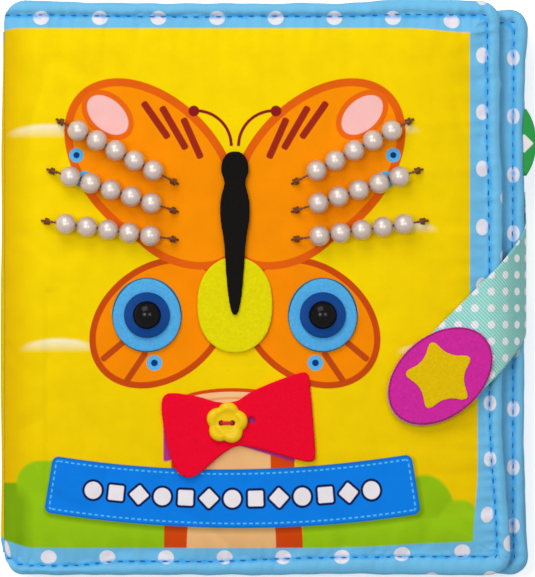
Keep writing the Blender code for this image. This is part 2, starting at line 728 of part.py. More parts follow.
def make_strap():
    """The ribbon strap in two lengths that meet at the fore edge, with its felt end and fastening tapes."""
    flat, leave, lip, shoulder, seam = strap_path()
    patch_x = FRONT_X - PATCH_INSET
    patch_y = -PATCH_DROP
    slope = math.tan(STRAP_ANGLE)
    half = STRAP_WIDTH / 2 / math.cos(STRAP_ANGLE)
    across = Vector((-math.sin(STRAP_ANGLE), math.cos(STRAP_ANGLE))) * STRAP_WIDTH / 2
    start = Vector((patch_x, patch_y))
    first = ((start.x - across.x, start.y - across.y, flat), (start.x + across.x, start.y + across.y, flat))
    stations = [first]
    run = leave - patch_x
    previous = (leave, flat)
    stations.append(((leave, patch_y + slope * run - half, flat), (leave, patch_y + slope * run + half, flat)))
    for x, z in (lip, shoulder):
        run += math.hypot(x - previous[0], z - previous[1])
        previous = (x, z)
        stations.append(((x, patch_y + slope * run - half, z), (x, patch_y + slope * run + half, z)))
    top = ribbon_piece("strap_top_ribbon", stations, GROSGRAIN)

    side_top = shoulder[1] - RIBBON - CLEARANCE
    side_stations = []
    for z in (side_top, seam[1]):
        y = patch_y + slope * (run + shoulder[1] - z)
        side_stations.append(((seam[0], y - half, z), (seam[0], y + half, z)))
    side = ribbon_piece("strap_side_ribbon", side_stations, GROSGRAIN)

    tape_bottom = FRONT_TOP + CLEARANCE
    hook_bottom = tape_bottom + TAPE + CLEARANCE
    layer = hook_bottom + TAPE + CLEARANCE
    loop_tape = block("strap_loop_tape", TAPE_LENGTH, TAPE_WIDTH, TAPE, patch_x, patch_y, tape_bottom,
                      PATCH_TILT, HOOK_TAPE)
    hook_tape = block("strap_hook_tape", TAPE_LENGTH, TAPE_WIDTH, TAPE, patch_x, patch_y, hook_bottom,
                      PATCH_TILT, HOOK_TAPE)
    margin = 2 * PATCH_BACKING_MARGIN
    backing_outline = ellipse(PATCH_LENGTH + margin, PATCH_WIDTH + margin)
    backing = to_mesh(flat_piece("strap_patch_backing", [backing_outline], RIBBON, patch_x, patch_y, layer,
                                 PATCH_TILT, PALE_FELT))
    reach = PATCH_LENGTH
    middle = start + Vector((math.cos(STRAP_ANGLE), math.sin(STRAP_ANGLE))) * (reach / 2 - CLEARANCE)
    cutter = block("ribbon_room", reach, 2 * PATCH_WIDTH, RIBBON + OVERRUN, middle.x, middle.y,
                   layer - OVERRUN / 2, STRAP_ANGLE, PALE_FELT, cutters)
    join_with(backing, cutter, "DIFFERENCE")
    felt_bottom = layer + RIBBON + CLEARANCE
    patch = flat_piece("strap_patch_felt", [ellipse(PATCH_LENGTH, PATCH_WIDTH)], FELT, patch_x, patch_y,
                       felt_bottom, PATCH_TILT, MAGENTA_FELT)
    return [top, hook_tape, backing, patch], side, loop_tape, shoulder, seam


def make_tab():
    """A rounded tab in the fore edge of the upper inner leaf."""
    steps = TURN_STEPS // 2
    outline = []
    for step in range(steps + 1):
        angle = math.pi * step / steps - math.pi / 2
        bulge = math.cos(angle) ** (1 / 2) if 0 < step < steps else 0
        outline.append((TAB_REACH * bulge, TAB_LENGTH / 2 * math.sin(angle)))
    bottom = PAGE_1_MID - TAB_THICKNESS / 2
    return flat_piece("page_tab", [outline], TAB_THICKNESS, FORE_X + CLEARANCE, TAB_RISE, bottom, 0, GREEN_TAB)


FRONT_PIVOT = pivot("front_cover_pivot", HINGE_X, 0, HINGE_Z)
PAGE_1_PIVOT = pivot("inner_leaf_1_pivot", HINGE_X, 0, HINGE_Z)
PAGE_2_PIVOT = pivot("inner_leaf_2_pivot", HINGE_X, 0, HINGE_Z)

front_pieces, page_1_pieces, page_2_pieces = make_leaves()
make_spine()
bead_rows = make_bead_rows(front_pieces[0])
bow = make_bow()
button = make_button()
flap_pieces, side_ribbon, loop_tape, strap_shoulder, strap_seam = make_strap()
tab = make_tab()

hang_on(FRONT_PIVOT, front_pieces + make_appliques() + [bow, button, loop_tape])
hang_on(PAGE_1_PIVOT, page_1_pieces + [tab, FRONT_PIVOT])
hang_on(PAGE_2_PIVOT, page_2_pieces + [PAGE_1_PIVOT])
side_pivot = pivot("strap_side_pivot", strap_seam[0], 0, strap_seam[1])
flap_pivot = pivot("strap_flap_pivot", strap_shoulder[0], 0, strap_shoulder[1])
hang_on(flap_pivot, flap_pieces)
hang_on(side_pivot, [side_ribbon, flap_pivot])
bpy.context.view_layer.update()

print("hinge line x and z:", HINGE_X, HINGE_Z)
print("button axis:", motif(BUTTON_PLACE_SHARES))
print("strap side hinge:", strap_seam)
print("strap flap hinge:", strap_shoulder)
for row_word, row_number, row_direction, row_outer_slack in bead_rows:
    print("bead row", row_word, row_number, tuple(row_direction), "outwards", row_outer_slack)
print("slack of a row:", CORD_SLACK)
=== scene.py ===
# %% [markdown]
# This lesson dresses a baby's crinkle cloth book. The real thing is four padded cloth leaves, each sewn
# round its edge, held together by one wide spine cloth. The front carries felt pieces, three rows of
# beads a side, a felt bow under a flower button and a ribbon strap that closes the book. The packed
# CAD model gives every place and every moving body, so the first step is to load it.

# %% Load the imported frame
import math

import bmesh
import bpy
from mathutils import Matrix, Vector, noise
from mathutils.kdtree import KDTree


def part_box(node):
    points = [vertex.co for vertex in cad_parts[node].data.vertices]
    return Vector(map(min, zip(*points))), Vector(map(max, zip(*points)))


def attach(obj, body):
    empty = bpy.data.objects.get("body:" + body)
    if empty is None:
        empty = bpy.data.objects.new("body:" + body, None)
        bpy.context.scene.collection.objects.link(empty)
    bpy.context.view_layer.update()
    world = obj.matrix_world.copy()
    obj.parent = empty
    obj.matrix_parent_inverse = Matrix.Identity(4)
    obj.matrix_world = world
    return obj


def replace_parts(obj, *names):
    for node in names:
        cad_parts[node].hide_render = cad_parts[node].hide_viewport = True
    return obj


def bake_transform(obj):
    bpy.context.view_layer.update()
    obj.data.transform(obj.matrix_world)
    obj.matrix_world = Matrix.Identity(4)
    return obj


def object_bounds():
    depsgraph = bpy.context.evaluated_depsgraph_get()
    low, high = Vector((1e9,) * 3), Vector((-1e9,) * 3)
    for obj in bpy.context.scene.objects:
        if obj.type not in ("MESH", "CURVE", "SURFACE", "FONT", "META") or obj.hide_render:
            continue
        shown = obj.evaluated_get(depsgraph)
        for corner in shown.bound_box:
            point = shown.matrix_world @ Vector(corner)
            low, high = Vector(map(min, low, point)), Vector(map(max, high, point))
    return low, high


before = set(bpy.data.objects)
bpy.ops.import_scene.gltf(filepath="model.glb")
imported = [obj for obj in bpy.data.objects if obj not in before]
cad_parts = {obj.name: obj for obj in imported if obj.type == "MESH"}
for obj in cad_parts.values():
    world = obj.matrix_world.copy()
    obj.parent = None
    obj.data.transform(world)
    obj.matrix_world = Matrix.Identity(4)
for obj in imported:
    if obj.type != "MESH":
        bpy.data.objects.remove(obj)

cad_low, cad_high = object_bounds()
print("CAD box in mm:", [round((b - a) * 1000, 1) for a, b in zip(cad_low, cad_high)])


def box_middle(node):
    """The middle of a node's box."""
    low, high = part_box(node)
    return (low + high) / 2


def seen_size(node):
    """Width and height of a node's box, seen from above."""
    low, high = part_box(node)
    return high.x - low.x, high.y - low.y
# %% [markdown]
# The photograph looks straight down on the closed book. Its pixels are turned into millimetres once,
# here, and the camera is a long lens far away, so that the upper leaf is hardly larger than the lower
# ones. A perspective camera is used instead of a flat one because the other views turn it round the book.

# %% Camera straight above the cover
MM = 0.001
PIXEL = 0.385 * MM
FRAME_PIXELS = (535, 577)
ORIGIN_PIXEL = (264, 292)


def photo_place(across, down):
    """A place on the cover from a pixel of the photograph."""
    return Vector(((across - ORIGIN_PIXEL[0]) * PIXEL, (ORIGIN_PIXEL[1] - down) * PIXEL))


COVER_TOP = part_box("left_oval_felt")[0].z - 0.3 * MM
CAMERA_DISTANCE = 3.0
SENSOR = 36.0
view_centre = photo_place(FRAME_PIXELS[0] / 2, FRAME_PIXELS[1] / 2)
camera_data = bpy.data.cameras.new("camera")
camera_data.sensor_width = SENSOR
camera_data.lens = SENSOR * CAMERA_DISTANCE / (FRAME_PIXELS[1] * PIXEL)
camera_data.clip_end = 20
camera = bpy.data.objects.new("camera", camera_data)
camera.location = (view_centre.x, view_centre.y, COVER_TOP + CAMERA_DISTANCE)
bpy.context.scene.collection.objects.link(camera)
bpy.context.scene.camera = camera
bpy.context.scene.view_settings.view_transform = "Standard"
print("lens in mm:", round(camera_data.lens, 1), "cover top in mm:", round(COVER_TOP / MM, 2))

# %% [markdown]
# Every finish below is a small graph of nodes. One function adds a node with its settings and its
# links, and one turns a written sRGB colour into the linear numbers that the shader wants.

# %% Colours and nodes


def linear(colour):
    """An sRGB hex colour as linear red, green, blue and alpha."""
    parts = [int(colour[i:i + 2], 16) / 255 for i in (1, 3, 5)]
    return (*[p / 12.92 if p <= 0.04045 else ((p + 0.055) / 1.055) ** 2.4 for p in parts], 1.0)


def add_node(material, kind, inputs=None, **settings):
    """Add a node with its settings; each input is a value or another node's output."""
    made = material.node_tree.nodes.new("ShaderNode" + kind)
    for name, value in settings.items():
        setattr(made, name, value)
    for socket, value in (inputs or {}).items():
        if isinstance(value, bpy.types.NodeSocket):
            material.node_tree.links.new(value, made.inputs[socket])
        else:
            made.inputs[socket].default_value = value
    return made


def new_finish(name, colour, roughness, **sockets):
    """A Principled material whose even values are set on the shader itself."""
    material = bpy.data.materials.new(name)
    material.use_nodes = True
    shader = material.node_tree.nodes["Principled BSDF"]
    shader.inputs["Base Color"].default_value = linear(colour)
    shader.inputs["Roughness"].default_value = roughness
    for socket, value in sockets.items():
        shader.inputs[socket.replace("_", " ")].default_value = value
    return material, shader


def join(material, output, shader, socket):
    """Link an output to one of the shader's sockets."""
    material.node_tree.links.new(output, shader.inputs[socket])


# %% [markdown]
# Printed cotton is a plain weave of threads about 0.3 mm apart. That is finer than a pixel of the
# picture, so the weave is drawn at 0.7 mm, as coarse as it needs to be to roughen the light. A slow noise on
# top stands for the slack of a cloth that was turned inside out and filled. Both are bump, because the
# large folds come from the mesh. Dye never takes evenly, so the colour drifts by a few hundredths.

# %% Cotton finish
THREAD_PITCH = 0.7 * MM
WAVE_PERIOD = math.pi / 10


def coordinates(material, from_uv=False):
    """Places on a piece in metres, from the object or from a UV map laid out in metres."""
    source = add_node(material, "TexCoord")
    return source.outputs["UV" if from_uv else "Object"]


def weave_bump(material, place, pitch, depth, strength):
    """Crossing threads and slow slack as one bump, returned as a normal."""
    scale = WAVE_PERIOD / pitch
    warp = add_node(material, "TexWave", {"Vector": place, "Scale": scale}, bands_direction="X")
    weft = add_node(material, "TexWave", {"Vector": place, "Scale": scale}, bands_direction="Y")
    threads = add_node(material, "Math", {0: warp.outputs["Fac"], 1: weft.outputs["Fac"]}, operation="ADD")
    slack = add_node(material, "TexNoise", {"Vector": place, "Scale": 0.3 / (pitch * 2), "Detail": 3.0})
    both = add_node(material, "Math", {0: slack.outputs["Fac"], 1: 3.0, 2: threads.outputs[0]},
                    operation="MULTIPLY_ADD")
    bump = add_node(material, "Bump", {"Strength": strength, "Distance": depth, "Height": both.outputs[0]})
    return bump.outputs["Normal"]


def uneven(material, colour, place, size, spread):
    """A colour that drifts a little darker and lighter over the given size."""
    drift = add_node(material, "TexNoise", {"Vector": place, "Scale": 1 / size, "Detail": 4.0})
    level = add_node(material, "MapRange", {"Value": drift.outputs["Fac"], "From Min": 0.3, "From Max": 0.7,
                                            "To Min": 1 - spread, "To Max": 1 + spread / 3})
    tinted = add_node(material, "Mix", {0: 1.0, 6: colour, 7: level.outputs[0]}, data_type="RGBA",
                      blend_type="MULTIPLY")
    return tinted.outputs[2]


def mottled_finish(name, colour, roughness, size, spread, **sockets):
    """A finish whose colour drifts over the given size, with its shader and its places."""
    material, shader = new_finish(name, colour, roughness, **sockets)
    place = coordinates(material)
    join(material, uneven(material, linear(colour), place, size, spread), shader, "Base Color")
    return material, shader, place


def cotton(name, colour, paint=None, from_uv=False):
    """Woven cotton; paint is a function that draws a print and returns its colour."""
    material, shader = new_finish(name, colour, 0.82, Sheen_Weight=0.02, Sheen_Roughness=0.5,
                                  Specular_IOR_Level=0.05)
    place = coordinates(material, from_uv)
    printed = paint(material, place) if paint else linear(colour)
    join(material, uneven(material, printed, place, 9 * MM, 0.05), shader, "Base Color")
    join(material, weave_bump(material, place, THREAD_PITCH, 0.06 * MM, 0.35), shader, "Normal")
    return material


# %% [markdown]
# The print is drawn with masks: numbers that are 1 inside a shape and 0 outside, with an edge as soft as ink in
# cloth. An oval is a stretched circle, and a box with round corners is the distance to a smaller
# box. Each colour is laid over the one below it, in the order of a screen printer.

# %% Ink masks
INK_EDGE = 0.16


def oval_mask(material, place, centre, half, turn=0.0, edge=INK_EDGE):
    """An oval in millimetres, turned by degrees."""
    local = add_node(material, "Mapping", {"Vector": place, "Location": (*centre, 0), "Scale": (*half, 1),
                                           "Rotation": (0, 0, math.radians(turn))}, vector_type="TEXTURE")
    reach = add_node(material, "VectorMath", {0: local.outputs[0]}, operation="LENGTH")
    soft = edge / min(half)
    mask = add_node(material, "MapRange", {"Value": reach.outputs["Value"], "From Min": 1 + soft,
                                           "From Max": 1 - soft})
    return mask.outputs[0]


def box_distance(material, place, centre, half, corner, turn=0.0):
    """Distance outside a box with round corners, in millimetres, less than zero inside its edge."""
    local = add_node(material, "Mapping", {"Vector": place, "Location": (*centre, 0),
                                           "Rotation": (0, 0, math.radians(turn))}, vector_type="TEXTURE")
    folded = add_node(material, "VectorMath", {0: local.outputs[0]}, operation="ABSOLUTE")
    core = (half[0] - corner, half[1] - corner, 0)
    past = add_node(material, "VectorMath", {0: folded.outputs[0], 1: core}, operation="SUBTRACT")
    outside = add_node(material, "VectorMath", {0: past.outputs[0], 1: (0, 0, 0)}, operation="MAXIMUM")
    length = add_node(material, "VectorMath", {0: outside.outputs[0]}, operation="LENGTH")
    distance = add_node(material, "Math", {0: length.outputs["Value"], 1: corner}, operation="SUBTRACT")
    return distance.outputs[0]


def inside(material, distance, reach=0.0, edge=INK_EDGE):
    """1 where a distance is less than the reach."""
    mask = add_node(material, "MapRange", {"Value": distance, "From Min": reach + edge, "From Max": reach - edge})
    return mask.outputs[0]


def box_mask(material, place, centre, half, corner=1.0, turn=0.0, edge=INK_EDGE):
    """A box with round corners, in millimetres."""
    return inside(material, box_distance(material, place, centre, half, corner, turn), 0.0, edge)


def dot_mask(material, place, start, pitch, radius, squash=(1, 1)):
    """Round dots on a grid; a pitch of None leaves one row or one column, and squash flattens every dot."""
    far = 1000
    shifted = add_node(material, "VectorMath", {0: place, 1: (*start, 0)}, operation="SUBTRACT")
    half = [far if step is None else step / 2 for step in pitch]
    cell = add_node(material, "VectorMath", {0: shifted.outputs[0], 1: (*half, far),
                                             2: (-half[0], -half[1], -far)}, operation="WRAP")
    eased = add_node(material, "VectorMath", {0: cell.outputs[0], 1: (1 / squash[0], 1 / squash[1], 1)},
                     operation="MULTIPLY")
    reach = add_node(material, "VectorMath", {0: eased.outputs[0]}, operation="LENGTH")
    return inside(material, reach.outputs["Value"], radius)


def times(material, first, second):
    """Where both masks are."""
    return add_node(material, "Math", {0: first, 1: second}, operation="MULTIPLY").outputs[0]


def either(material, first, second):
    """Where one mask or the other is."""
    return add_node(material, "Math", {0: first, 1: second}, operation="MAXIMUM").outputs[0]


def ink(material, below, mask, colour):
    """One colour laid over what is printed already."""
    value = linear(colour) if isinstance(colour, str) else colour
    return add_node(material, "Mix", {0: mask, 6: below, 7: value}, data_type="RGBA").outputs[2]


def in_millimetres(material, place):
    """Metres to millimetres, with the height left out."""
    return add_node(material, "Mapping", {"Vector": place, "Scale": (1000, 1000, 0)}).outputs[0]


# %% [markdown]
# The blue border cloth has pale dots 6.4 mm across, 22.6 mm apart. The same dots cover the linings, where a second
# grid stands between the first. The hidden sides of the book use this cloth too. Where a border rolls over
# the rim, a dot seen from above is squashed across the roll, so it is drawn that way.

# %% Dotted border cloth
# The last of these blues is the sewing thread's, deepened with painted shade for the groove along the stitches.
BORDER_BLUE, DOT_PALE, GROOVE_SHADE_BLUE = "#74C2EC", "#EFEAF2", "#1FA4F0"
PAGE_CREAM, COVER_YELLOW = "#F4EEDC", "#FADA00"
DOT_PITCH, DOT_RADIUS, DOT_START = 22.6, 3.2, (96.3, 90.5)
SIDE_SQUASH, END_SQUASH = (0.75, 0.98), (0.95, 0.84)
PAGE_ROLL, COVER_ROLL, CORNER_RADIUS = 4.4, 5.0, 8.0
LEAF_OUTLINE = (100.6, -108.2, 108.2)
CHANNEL_EDGE, CHANNEL_HALF = 2.4, 1.1


def dotted_blue(material, place, squash=(1, 1)):
    """Two grids of pale dots on blue."""
    flat = in_millimetres(material, place)
    colour = linear(BORDER_BLUE)
    for shift in (0, DOT_PITCH / 2):
        start = (DOT_START[0] + shift, DOT_START[1] + shift)
        dots = dot_mask(material, flat, start, (DOT_PITCH, DOT_PITCH), DOT_RADIUS, squash)
        colour = ink(material, colour, dots, DOT_PALE)
    return colour


def groove_with_painted_shade(material, colour, flat, right, foot, head, run):
    """The blue of the thread under the stitches, with painted shade in the groove that it lies in; the groove runs on
    past the spine.
    """
    left = -300
    edge = box_distance(material, flat, ((left + right) / 2, (foot + head) / 2),
                        ((right - left) / 2, (head - foot) / 2), CORNER_RADIUS)
    off = add_node(material, "Math", {0: edge, 1: run}, operation="ADD").outputs[0]
    off = add_node(material, "Math", {0: off}, operation="ABSOLUTE").outputs[0]
    pulled = add_node(material, "TexNoise", {"Vector": flat, "Scale": 0.3, "Detail": 2.0})
    off = add_node(material, "Math", {0: pulled.outputs["Fac"], 1: CHANNEL_EDGE, 2: off}, operation="MULTIPLY_ADD")
    # Painted shade: the groove along the stitches is inked a deeper blue, softest at its sides.
    channel = add_node(material, "MapRange", {"Value": off.outputs[0], "From Min": CHANNEL_EDGE,
                                              "From Max": CHANNEL_HALF, "To Max": 0.8})
    return ink(material, colour, channel.outputs[0], GROOVE_SHADE_BLUE)


def page_print(material, place):
    """A plain pale page inside a dotted border."""
    flat = in_millimetres(material, place)
    page = box_mask(material, flat, (-5.8, 0), (94.2, 96), 2.0)
    colour = ink(material, dotted_blue(material, place, SIDE_SQUASH), page, PAGE_CREAM)
    return groove_with_painted_shade(material, colour, flat, *LEAF_OUTLINE, PAGE_ROLL)


LINING_COTTON = cotton("dotted_lining_cotton", BORDER_BLUE, dotted_blue)
PAGE_COTTON = cotton("page_cotton_with_dotted_border", PAGE_CREAM, page_print)
print("dot pitch in mm:", DOT_PITCH)

# %% [markdown]
# The front is one printed panel. In place of the toy's own picture there is a plain butterfly over a
# tree trunk, with bushes, clouds and a banner of simple shapes. Its colours, its sizes and its places follow
# the picture in the photograph. A butterfly is the same on both sides, so one absolute value
# of X draws both wings from one set of masks.

# %% Front cover print
MOTIF = (-11.2, 16.2)
FRONT_OUTLINE = (91.8, -108.9, 111.3)
SIDE_PULL = ((-42, -104, 2.9), (43, 62, -0.9))
FOOT_PULL = ((-30, 50, 2.0), (-55, -75, -1.3), (-92, -100, 3.2))
BANNER_RADIUS, BANNER_CORNER = 440.0, 2.6
BANNER_MIDDLE = (-12.2, -79.6)
BANNER_HALF = (71.7, 11.0)
SHAPE_PITCH, SHAPE_OUTLINE = 9.0, 0.95
DASH_PITCH, DASH_LENGTH = 2.35, 1.32
spot_place = box_middle("right_oval_felt") / MM
SPOT_PLACE = (spot_place.x - MOTIF[0], spot_place.y - MOTIF[1])
# How far the painted shadow reaches beyond each felt spot, in millimetres.
FELT_SPOT_SHADOW_REACH = 0.35


def ramp(material, value, start, end, height=1.0):
    """A smooth rise from nothing to the height between two values."""
    made = add_node(material, "MapRange", {"Value": value, "From Min": start, "From Max": end, "To Max": height},
                    interpolation_type="SMOOTHSTEP")
    return made.outputs[0]


def ramps(material, value, steps):
    """Several rises or falls of one value, added up."""
    total = None
    for start, end, height in steps:
        rise = ramp(material, value, start, end, height)
        total = rise if total is None else add_node(material, "Math", {0: total, 1: rise}, operation="ADD").outputs[0]
    return total


def mirrored_place(material, flat):
    """Places about the butterfly's middle line, with the left side folded on the right."""
    shifted = add_node(material, "VectorMath", {0: flat, 1: (*MOTIF, 0)}, operation="SUBTRACT")
    parts = add_node(material, "SeparateXYZ", {0: shifted.outputs[0]})
    across = add_node(material, "Math", {0: parts.outputs[0]}, operation="ABSOLUTE")
    return add_node(material, "CombineXYZ", {0: across.outputs[0], 1: parts.outputs[1]}).outputs[0]


def butterfly(material, colour, flat):
    """Wings with dark rims, stripes, pale tips and feelers, and a painted shadow line round each felt spot."""
    wing = mirrored_place(material, flat)
    ovals = [((29, -28), (29.5, 22.5), -38, "#CC4A10"), ((29, -28), (27.0, 20.0), -38, "#FF8E00"),
             ((32, 32), (40.0, 26.5), 46, "#E8620E"), ((20, 10), (24.0, 16.0), 24, "#E8620E"),
             ((32, 32), (36.8, 23.3), 46, "#FF9300"), ((20, 10), (21.0, 13.0), 24, "#FF9300"),
             ((49, 52), (11.5, 8.0), 42, "#EE6A10"), ((49, 52), (9.3, 5.9), 42, "#FDC3BE")]
    stripes = [((38, -45), (7.0, 1.2), -56, "#C24A12"), ((46, -38), (7.0, 1.2), -40, "#C24A12"),
               ((16.5, 43), (8.5, 1.35), 66, "#A02A18"), ((23.5, 47), (9.5, 1.35), 60, "#A02A18"),
               ((30.5, 50), (8.5, 1.35), 55, "#A02A18")]
    dots = [(centre, (radius, radius), 0, shade)
            for centre, *radii in (((58, 27), 3.4, 1.6), ((61, 36.5), 2.8, 1.2), ((44, -24), 3.4, 1.6),
                                   ((31, -43.5), 3.0, 1.3))
            for radius, shade in zip(radii, ("#5CB8F0", "#0A3C80"))]
    dots.append(((15.8, 53.5), (2.1, 2.1), 0, "#8C1A1E"))
    # Painted shadow: a dark teal oval a little larger than the felt spot, so a thin line shows round its edge.
    dots.append((SPOT_PLACE, [side / MM / 2 + FELT_SPOT_SHADOW_REACH for side in seen_size("right_oval_felt")], 0, "#2C6F86"))
    for mask, shapes in ((oval_mask, ovals), (box_mask, stripes), (oval_mask, dots)):
        for centre, half, turn, shade in shapes:
            colour = ink(material, colour, mask(material, wing, centre, half, turn=turn), shade)
    outer, inner = [oval_mask(material, wing, (15, 40), (radius, radius)) for radius in (14.2, 13.0)]
    hollow = add_node(material, "Math", {0: 1.0, 1: inner}, operation="SUBTRACT").outputs[0]
    quarter = box_mask(material, wing, (7.5, 47.5), (7.5, 7.5), 0.2)
    feeler = times(material, times(material, outer, hollow), quarter)
    return ink(material, colour, feeler, "#8C1A1E")


def banner_place(material, flat):
    """Places along and across the bent band, which is a little narrower to the right."""
    parts = add_node(material, "SeparateXYZ", {0: flat})
    dx = add_node(material, "Math", {0: parts.outputs[0], 1: BANNER_MIDDLE[0]}, operation="SUBTRACT").outputs[0]
    dy = add_node(material, "Math", {0: BANNER_MIDDLE[1] + BANNER_RADIUS, 1: parts.outputs[1]},
                  operation="SUBTRACT").outputs[0]
    ratio = add_node(material, "Math", {0: dx, 1: dy}, operation="DIVIDE").outputs[0]
    along = add_node(material, "Math", {0: ratio, 1: BANNER_RADIUS}, operation="MULTIPLY").outputs[0]
    pair = add_node(material, "CombineXYZ", {0: dx, 1: dy}).outputs[0]
    reach = add_node(material, "VectorMath", {0: pair}, operation="LENGTH").outputs["Value"]
    across = add_node(material, "Math", {0: BANNER_RADIUS, 1: reach}, operation="SUBTRACT").outputs[0]
    thinned = add_node(material, "Math", {0: 1.0, 1: ramp(material, along, -60, 60, 0.05)}, operation="SUBTRACT")
    return along, times(material, across, thinned.outputs[0])


def banner(material, colour, flat):
    """A bent blue band with dashed stitches and a row of plain white shapes outlined in navy."""
    along, across = banner_place(material, flat)
    band = add_node(material, "CombineXYZ", {0: along, 1: across}).outputs[0]
    shadow = box_distance(material, band, (0.6, -1.0), BANNER_HALF, BANNER_CORNER)
    shade = add_node(material, "MapRange", {"Value": shadow, "From Min": 1.6, "From Max": -0.4, "To Max": 0.75})
    colour = add_node(material, "Mix", {0: shade.outputs[0], 6: colour, 7: linear("#AEB49C")}, data_type="RGBA",
                      blend_type="MULTIPLY").outputs[2]
    edge = box_distance(material, band, (0, 0), BANNER_HALF, BANNER_CORNER)
    colour = ink(material, colour, inside(material, edge), "#0A66C4")
    colour = ink(material, colour, inside(material, edge, -0.5, 0.5), "#0C80EA")
    line = add_node(material, "Math", {0: inside(material, edge, -1.45), 1: inside(material, edge, -1.95)},
                    operation="SUBTRACT").outputs[0]
    far = add_node(material, "Math", {0: along}, operation="ABSOLUTE").outputs[0]
    at_end = add_node(material, "Math", {0: far, 1: BANNER_HALF[0] - BANNER_CORNER}, operation="GREATER_THAN")
    step = add_node(material, "Mix", {0: at_end.outputs[0], 2: along, 3: across}).outputs[0]
    dash = add_node(material, "Math", {0: step, 1: DASH_PITCH / 2, 2: -DASH_PITCH / 2}, operation="WRAP").outputs[0]
    size = add_node(material, "Math", {0: dash}, operation="ABSOLUTE").outputs[0]
    colour = ink(material, colour, times(material, line, inside(material, size, DASH_LENGTH / 2)), "#62C8FC")

    row = box_mask(material, band, (0, 0), (SHAPE_PITCH * 6.5, 8), 0.5)
    cell_end = (SHAPE_PITCH * 1.5, 1000, 1000)
    for outline, shade in ((SHAPE_OUTLINE, "#101C50"), (0.0, "#F1EBF0")):
        shapes = dot_mask(material, band, (0, 0), (SHAPE_PITCH * 3, None), 3.3 + outline)
        for centre, turn, half in ((SHAPE_PITCH, 0, 2.9), (2 * SHAPE_PITCH, 45, 2.75)):
            shifted = add_node(material, "VectorMath", {0: band, 1: (centre, 0, 0)}, operation="SUBTRACT")
            cell = add_node(material, "VectorMath", {0: shifted.outputs[0], 1: cell_end,
                                                     2: [-end for end in cell_end]}, operation="WRAP")
            block = box_mask(material, cell.outputs[0], (0, 0), (half + outline, half + outline), 0.6 + outline, turn)
            shapes = either(material, shapes, block)
        colour = ink(material, colour, times(material, shapes, row), shade)
    return colour


def pulled_place(material, parts):
    """Places on the flat print, before the filling pulled its sides out of line."""
    x, y = parts.outputs[0], parts.outputs[1]
    bulge = times(material, ramps(material, y, ((5, -45, 3.0), (-68, -98, -1.8))), ramp(material, x, 30, 78))
    head = times(material, ramps(material, x, ((55, 80, 1.7), (-94, -102, 1.0))), ramp(material, y, 40, 98))
    foot = times(material, ramps(material, x, ((20, 85, 2.4), (-88, -104, 3.6))), ramp(material, y, -40, -95))
    new_x = add_node(material, "Math", {0: x, 1: bulge}, operation="SUBTRACT")
    new_y = add_node(material, "Math", {0: y, 1: head}, operation="ADD")
    new_y = add_node(material, "Math", {0: new_y.outputs[0], 1: foot}, operation="SUBTRACT")
    return add_node(material, "CombineXYZ", {0: new_x.outputs[0], 1: new_y.outputs[0]}).outputs[0]


def seam_place(material, parts):
    """Places from which the seam looks straight again; the mesh is pulled by the same amounts."""
    x, y = parts.outputs[0], parts.outputs[1]
    foot = times(material, ramps(material, x, FOOT_PULL), ramp(material, y, 0, -60))
    new_x = add_node(material, "Math", {0: x, 1: ramps(material, y, SIDE_PULL)}, operation="SUBTRACT")
    new_y = add_node(material, "Math", {0: y, 1: foot}, operation="SUBTRACT")
    return add_node(material, "CombineXYZ", {0: new_x.outputs[0], 1: new_y.outputs[0]}).outputs[0]


def scenery(material, ground, flat, parts):
    """Clouds, a tree trunk with its rings, and bushes."""
    across, up = parts.outputs[0], parts.outputs[1]
    for centre, half in (((-83, 59.5), (15, 5)), ((46, 61), (13, 5)), ((-79, -23), (14, 5)), ((56, 23), (10, 4)),
                         ((61, -24), (9, 3.5))):
        cloud = oval_mask(material, flat, centre, half, 0, 0.7)
        base = add_node(material, "MapRange", {"Value": up, "From Min": centre[1] - 0.4,
                                               "From Max": centre[1] + half[1] * 0.9}).outputs[0]
        ground = ink(material, ground, times(material, cloud, base), "#FDF4CC")
    flare = add_node(material, "Math", {0: 1.0, 1: ramp(material, up, -62, -100, 0.13)}, operation="SUBTRACT")
    off = add_node(material, "Math", {0: across, 1: 12.0}, operation="ADD").outputs[0]
    trunk = add_node(material, "CombineXYZ", {0: times(material, off, flare.outputs[0]), 1: up}).outputs[0]
    layers = [(box_mask, trunk, (0, -77), (23.6, 33), "#D8490C", {}),
              (box_mask, trunk, (-0.5, -77), (15.0, 33), "#F2BC7E", {})]
    layers += [(oval_mask, flat, (-12.0, -44), half, shade, {}) for half, shade in (
        ((23.6, 7.0), "#D8490C"), ((21.6, 5.6), "#F6C890"), ((14.6, 3.6), "#E8A868"), ((13.0, 2.7), "#F6C890"),
        ((6.0, 1.4), "#E8A868"))]
    layers += [(box_mask, flat, (-104, -91), (16, 17.5), "#7FAA0C", {"corner": 6.0, "edge": 0.5}),
               (box_mask, flat, (-80, -86), (15.3, 21), "#98C814", {"corner": 9.0, "edge": 0.6}),
               (oval_mask, flat, (62, -87), (11.8, 16.5), "#92C010", {"edge": 0.6}),
               (oval_mask, flat, (75.5, -94), (9.5, 14), "#9ECA16", {"edge": 0.6}),
               (box_mask, flat, (-65, -94), (26.5, 7), "#98C814", {"corner": 0.5}),
               (box_mask, flat, (49, -94), (34, 7), "#98C814", {"corner": 0.5}),
               # Painted shade: this last, soft layer darkens the bushes towards the spine.
               (box_mask, flat, (-106, -93), (15, 17), "#7FAA0C", {"corner": 6.0, "edge": 2.6})]
    for mask, place, centre, half, shade, settings in layers:
        ground = ink(material, ground, mask(material, place, centre, half, **settings), shade)
    return ground


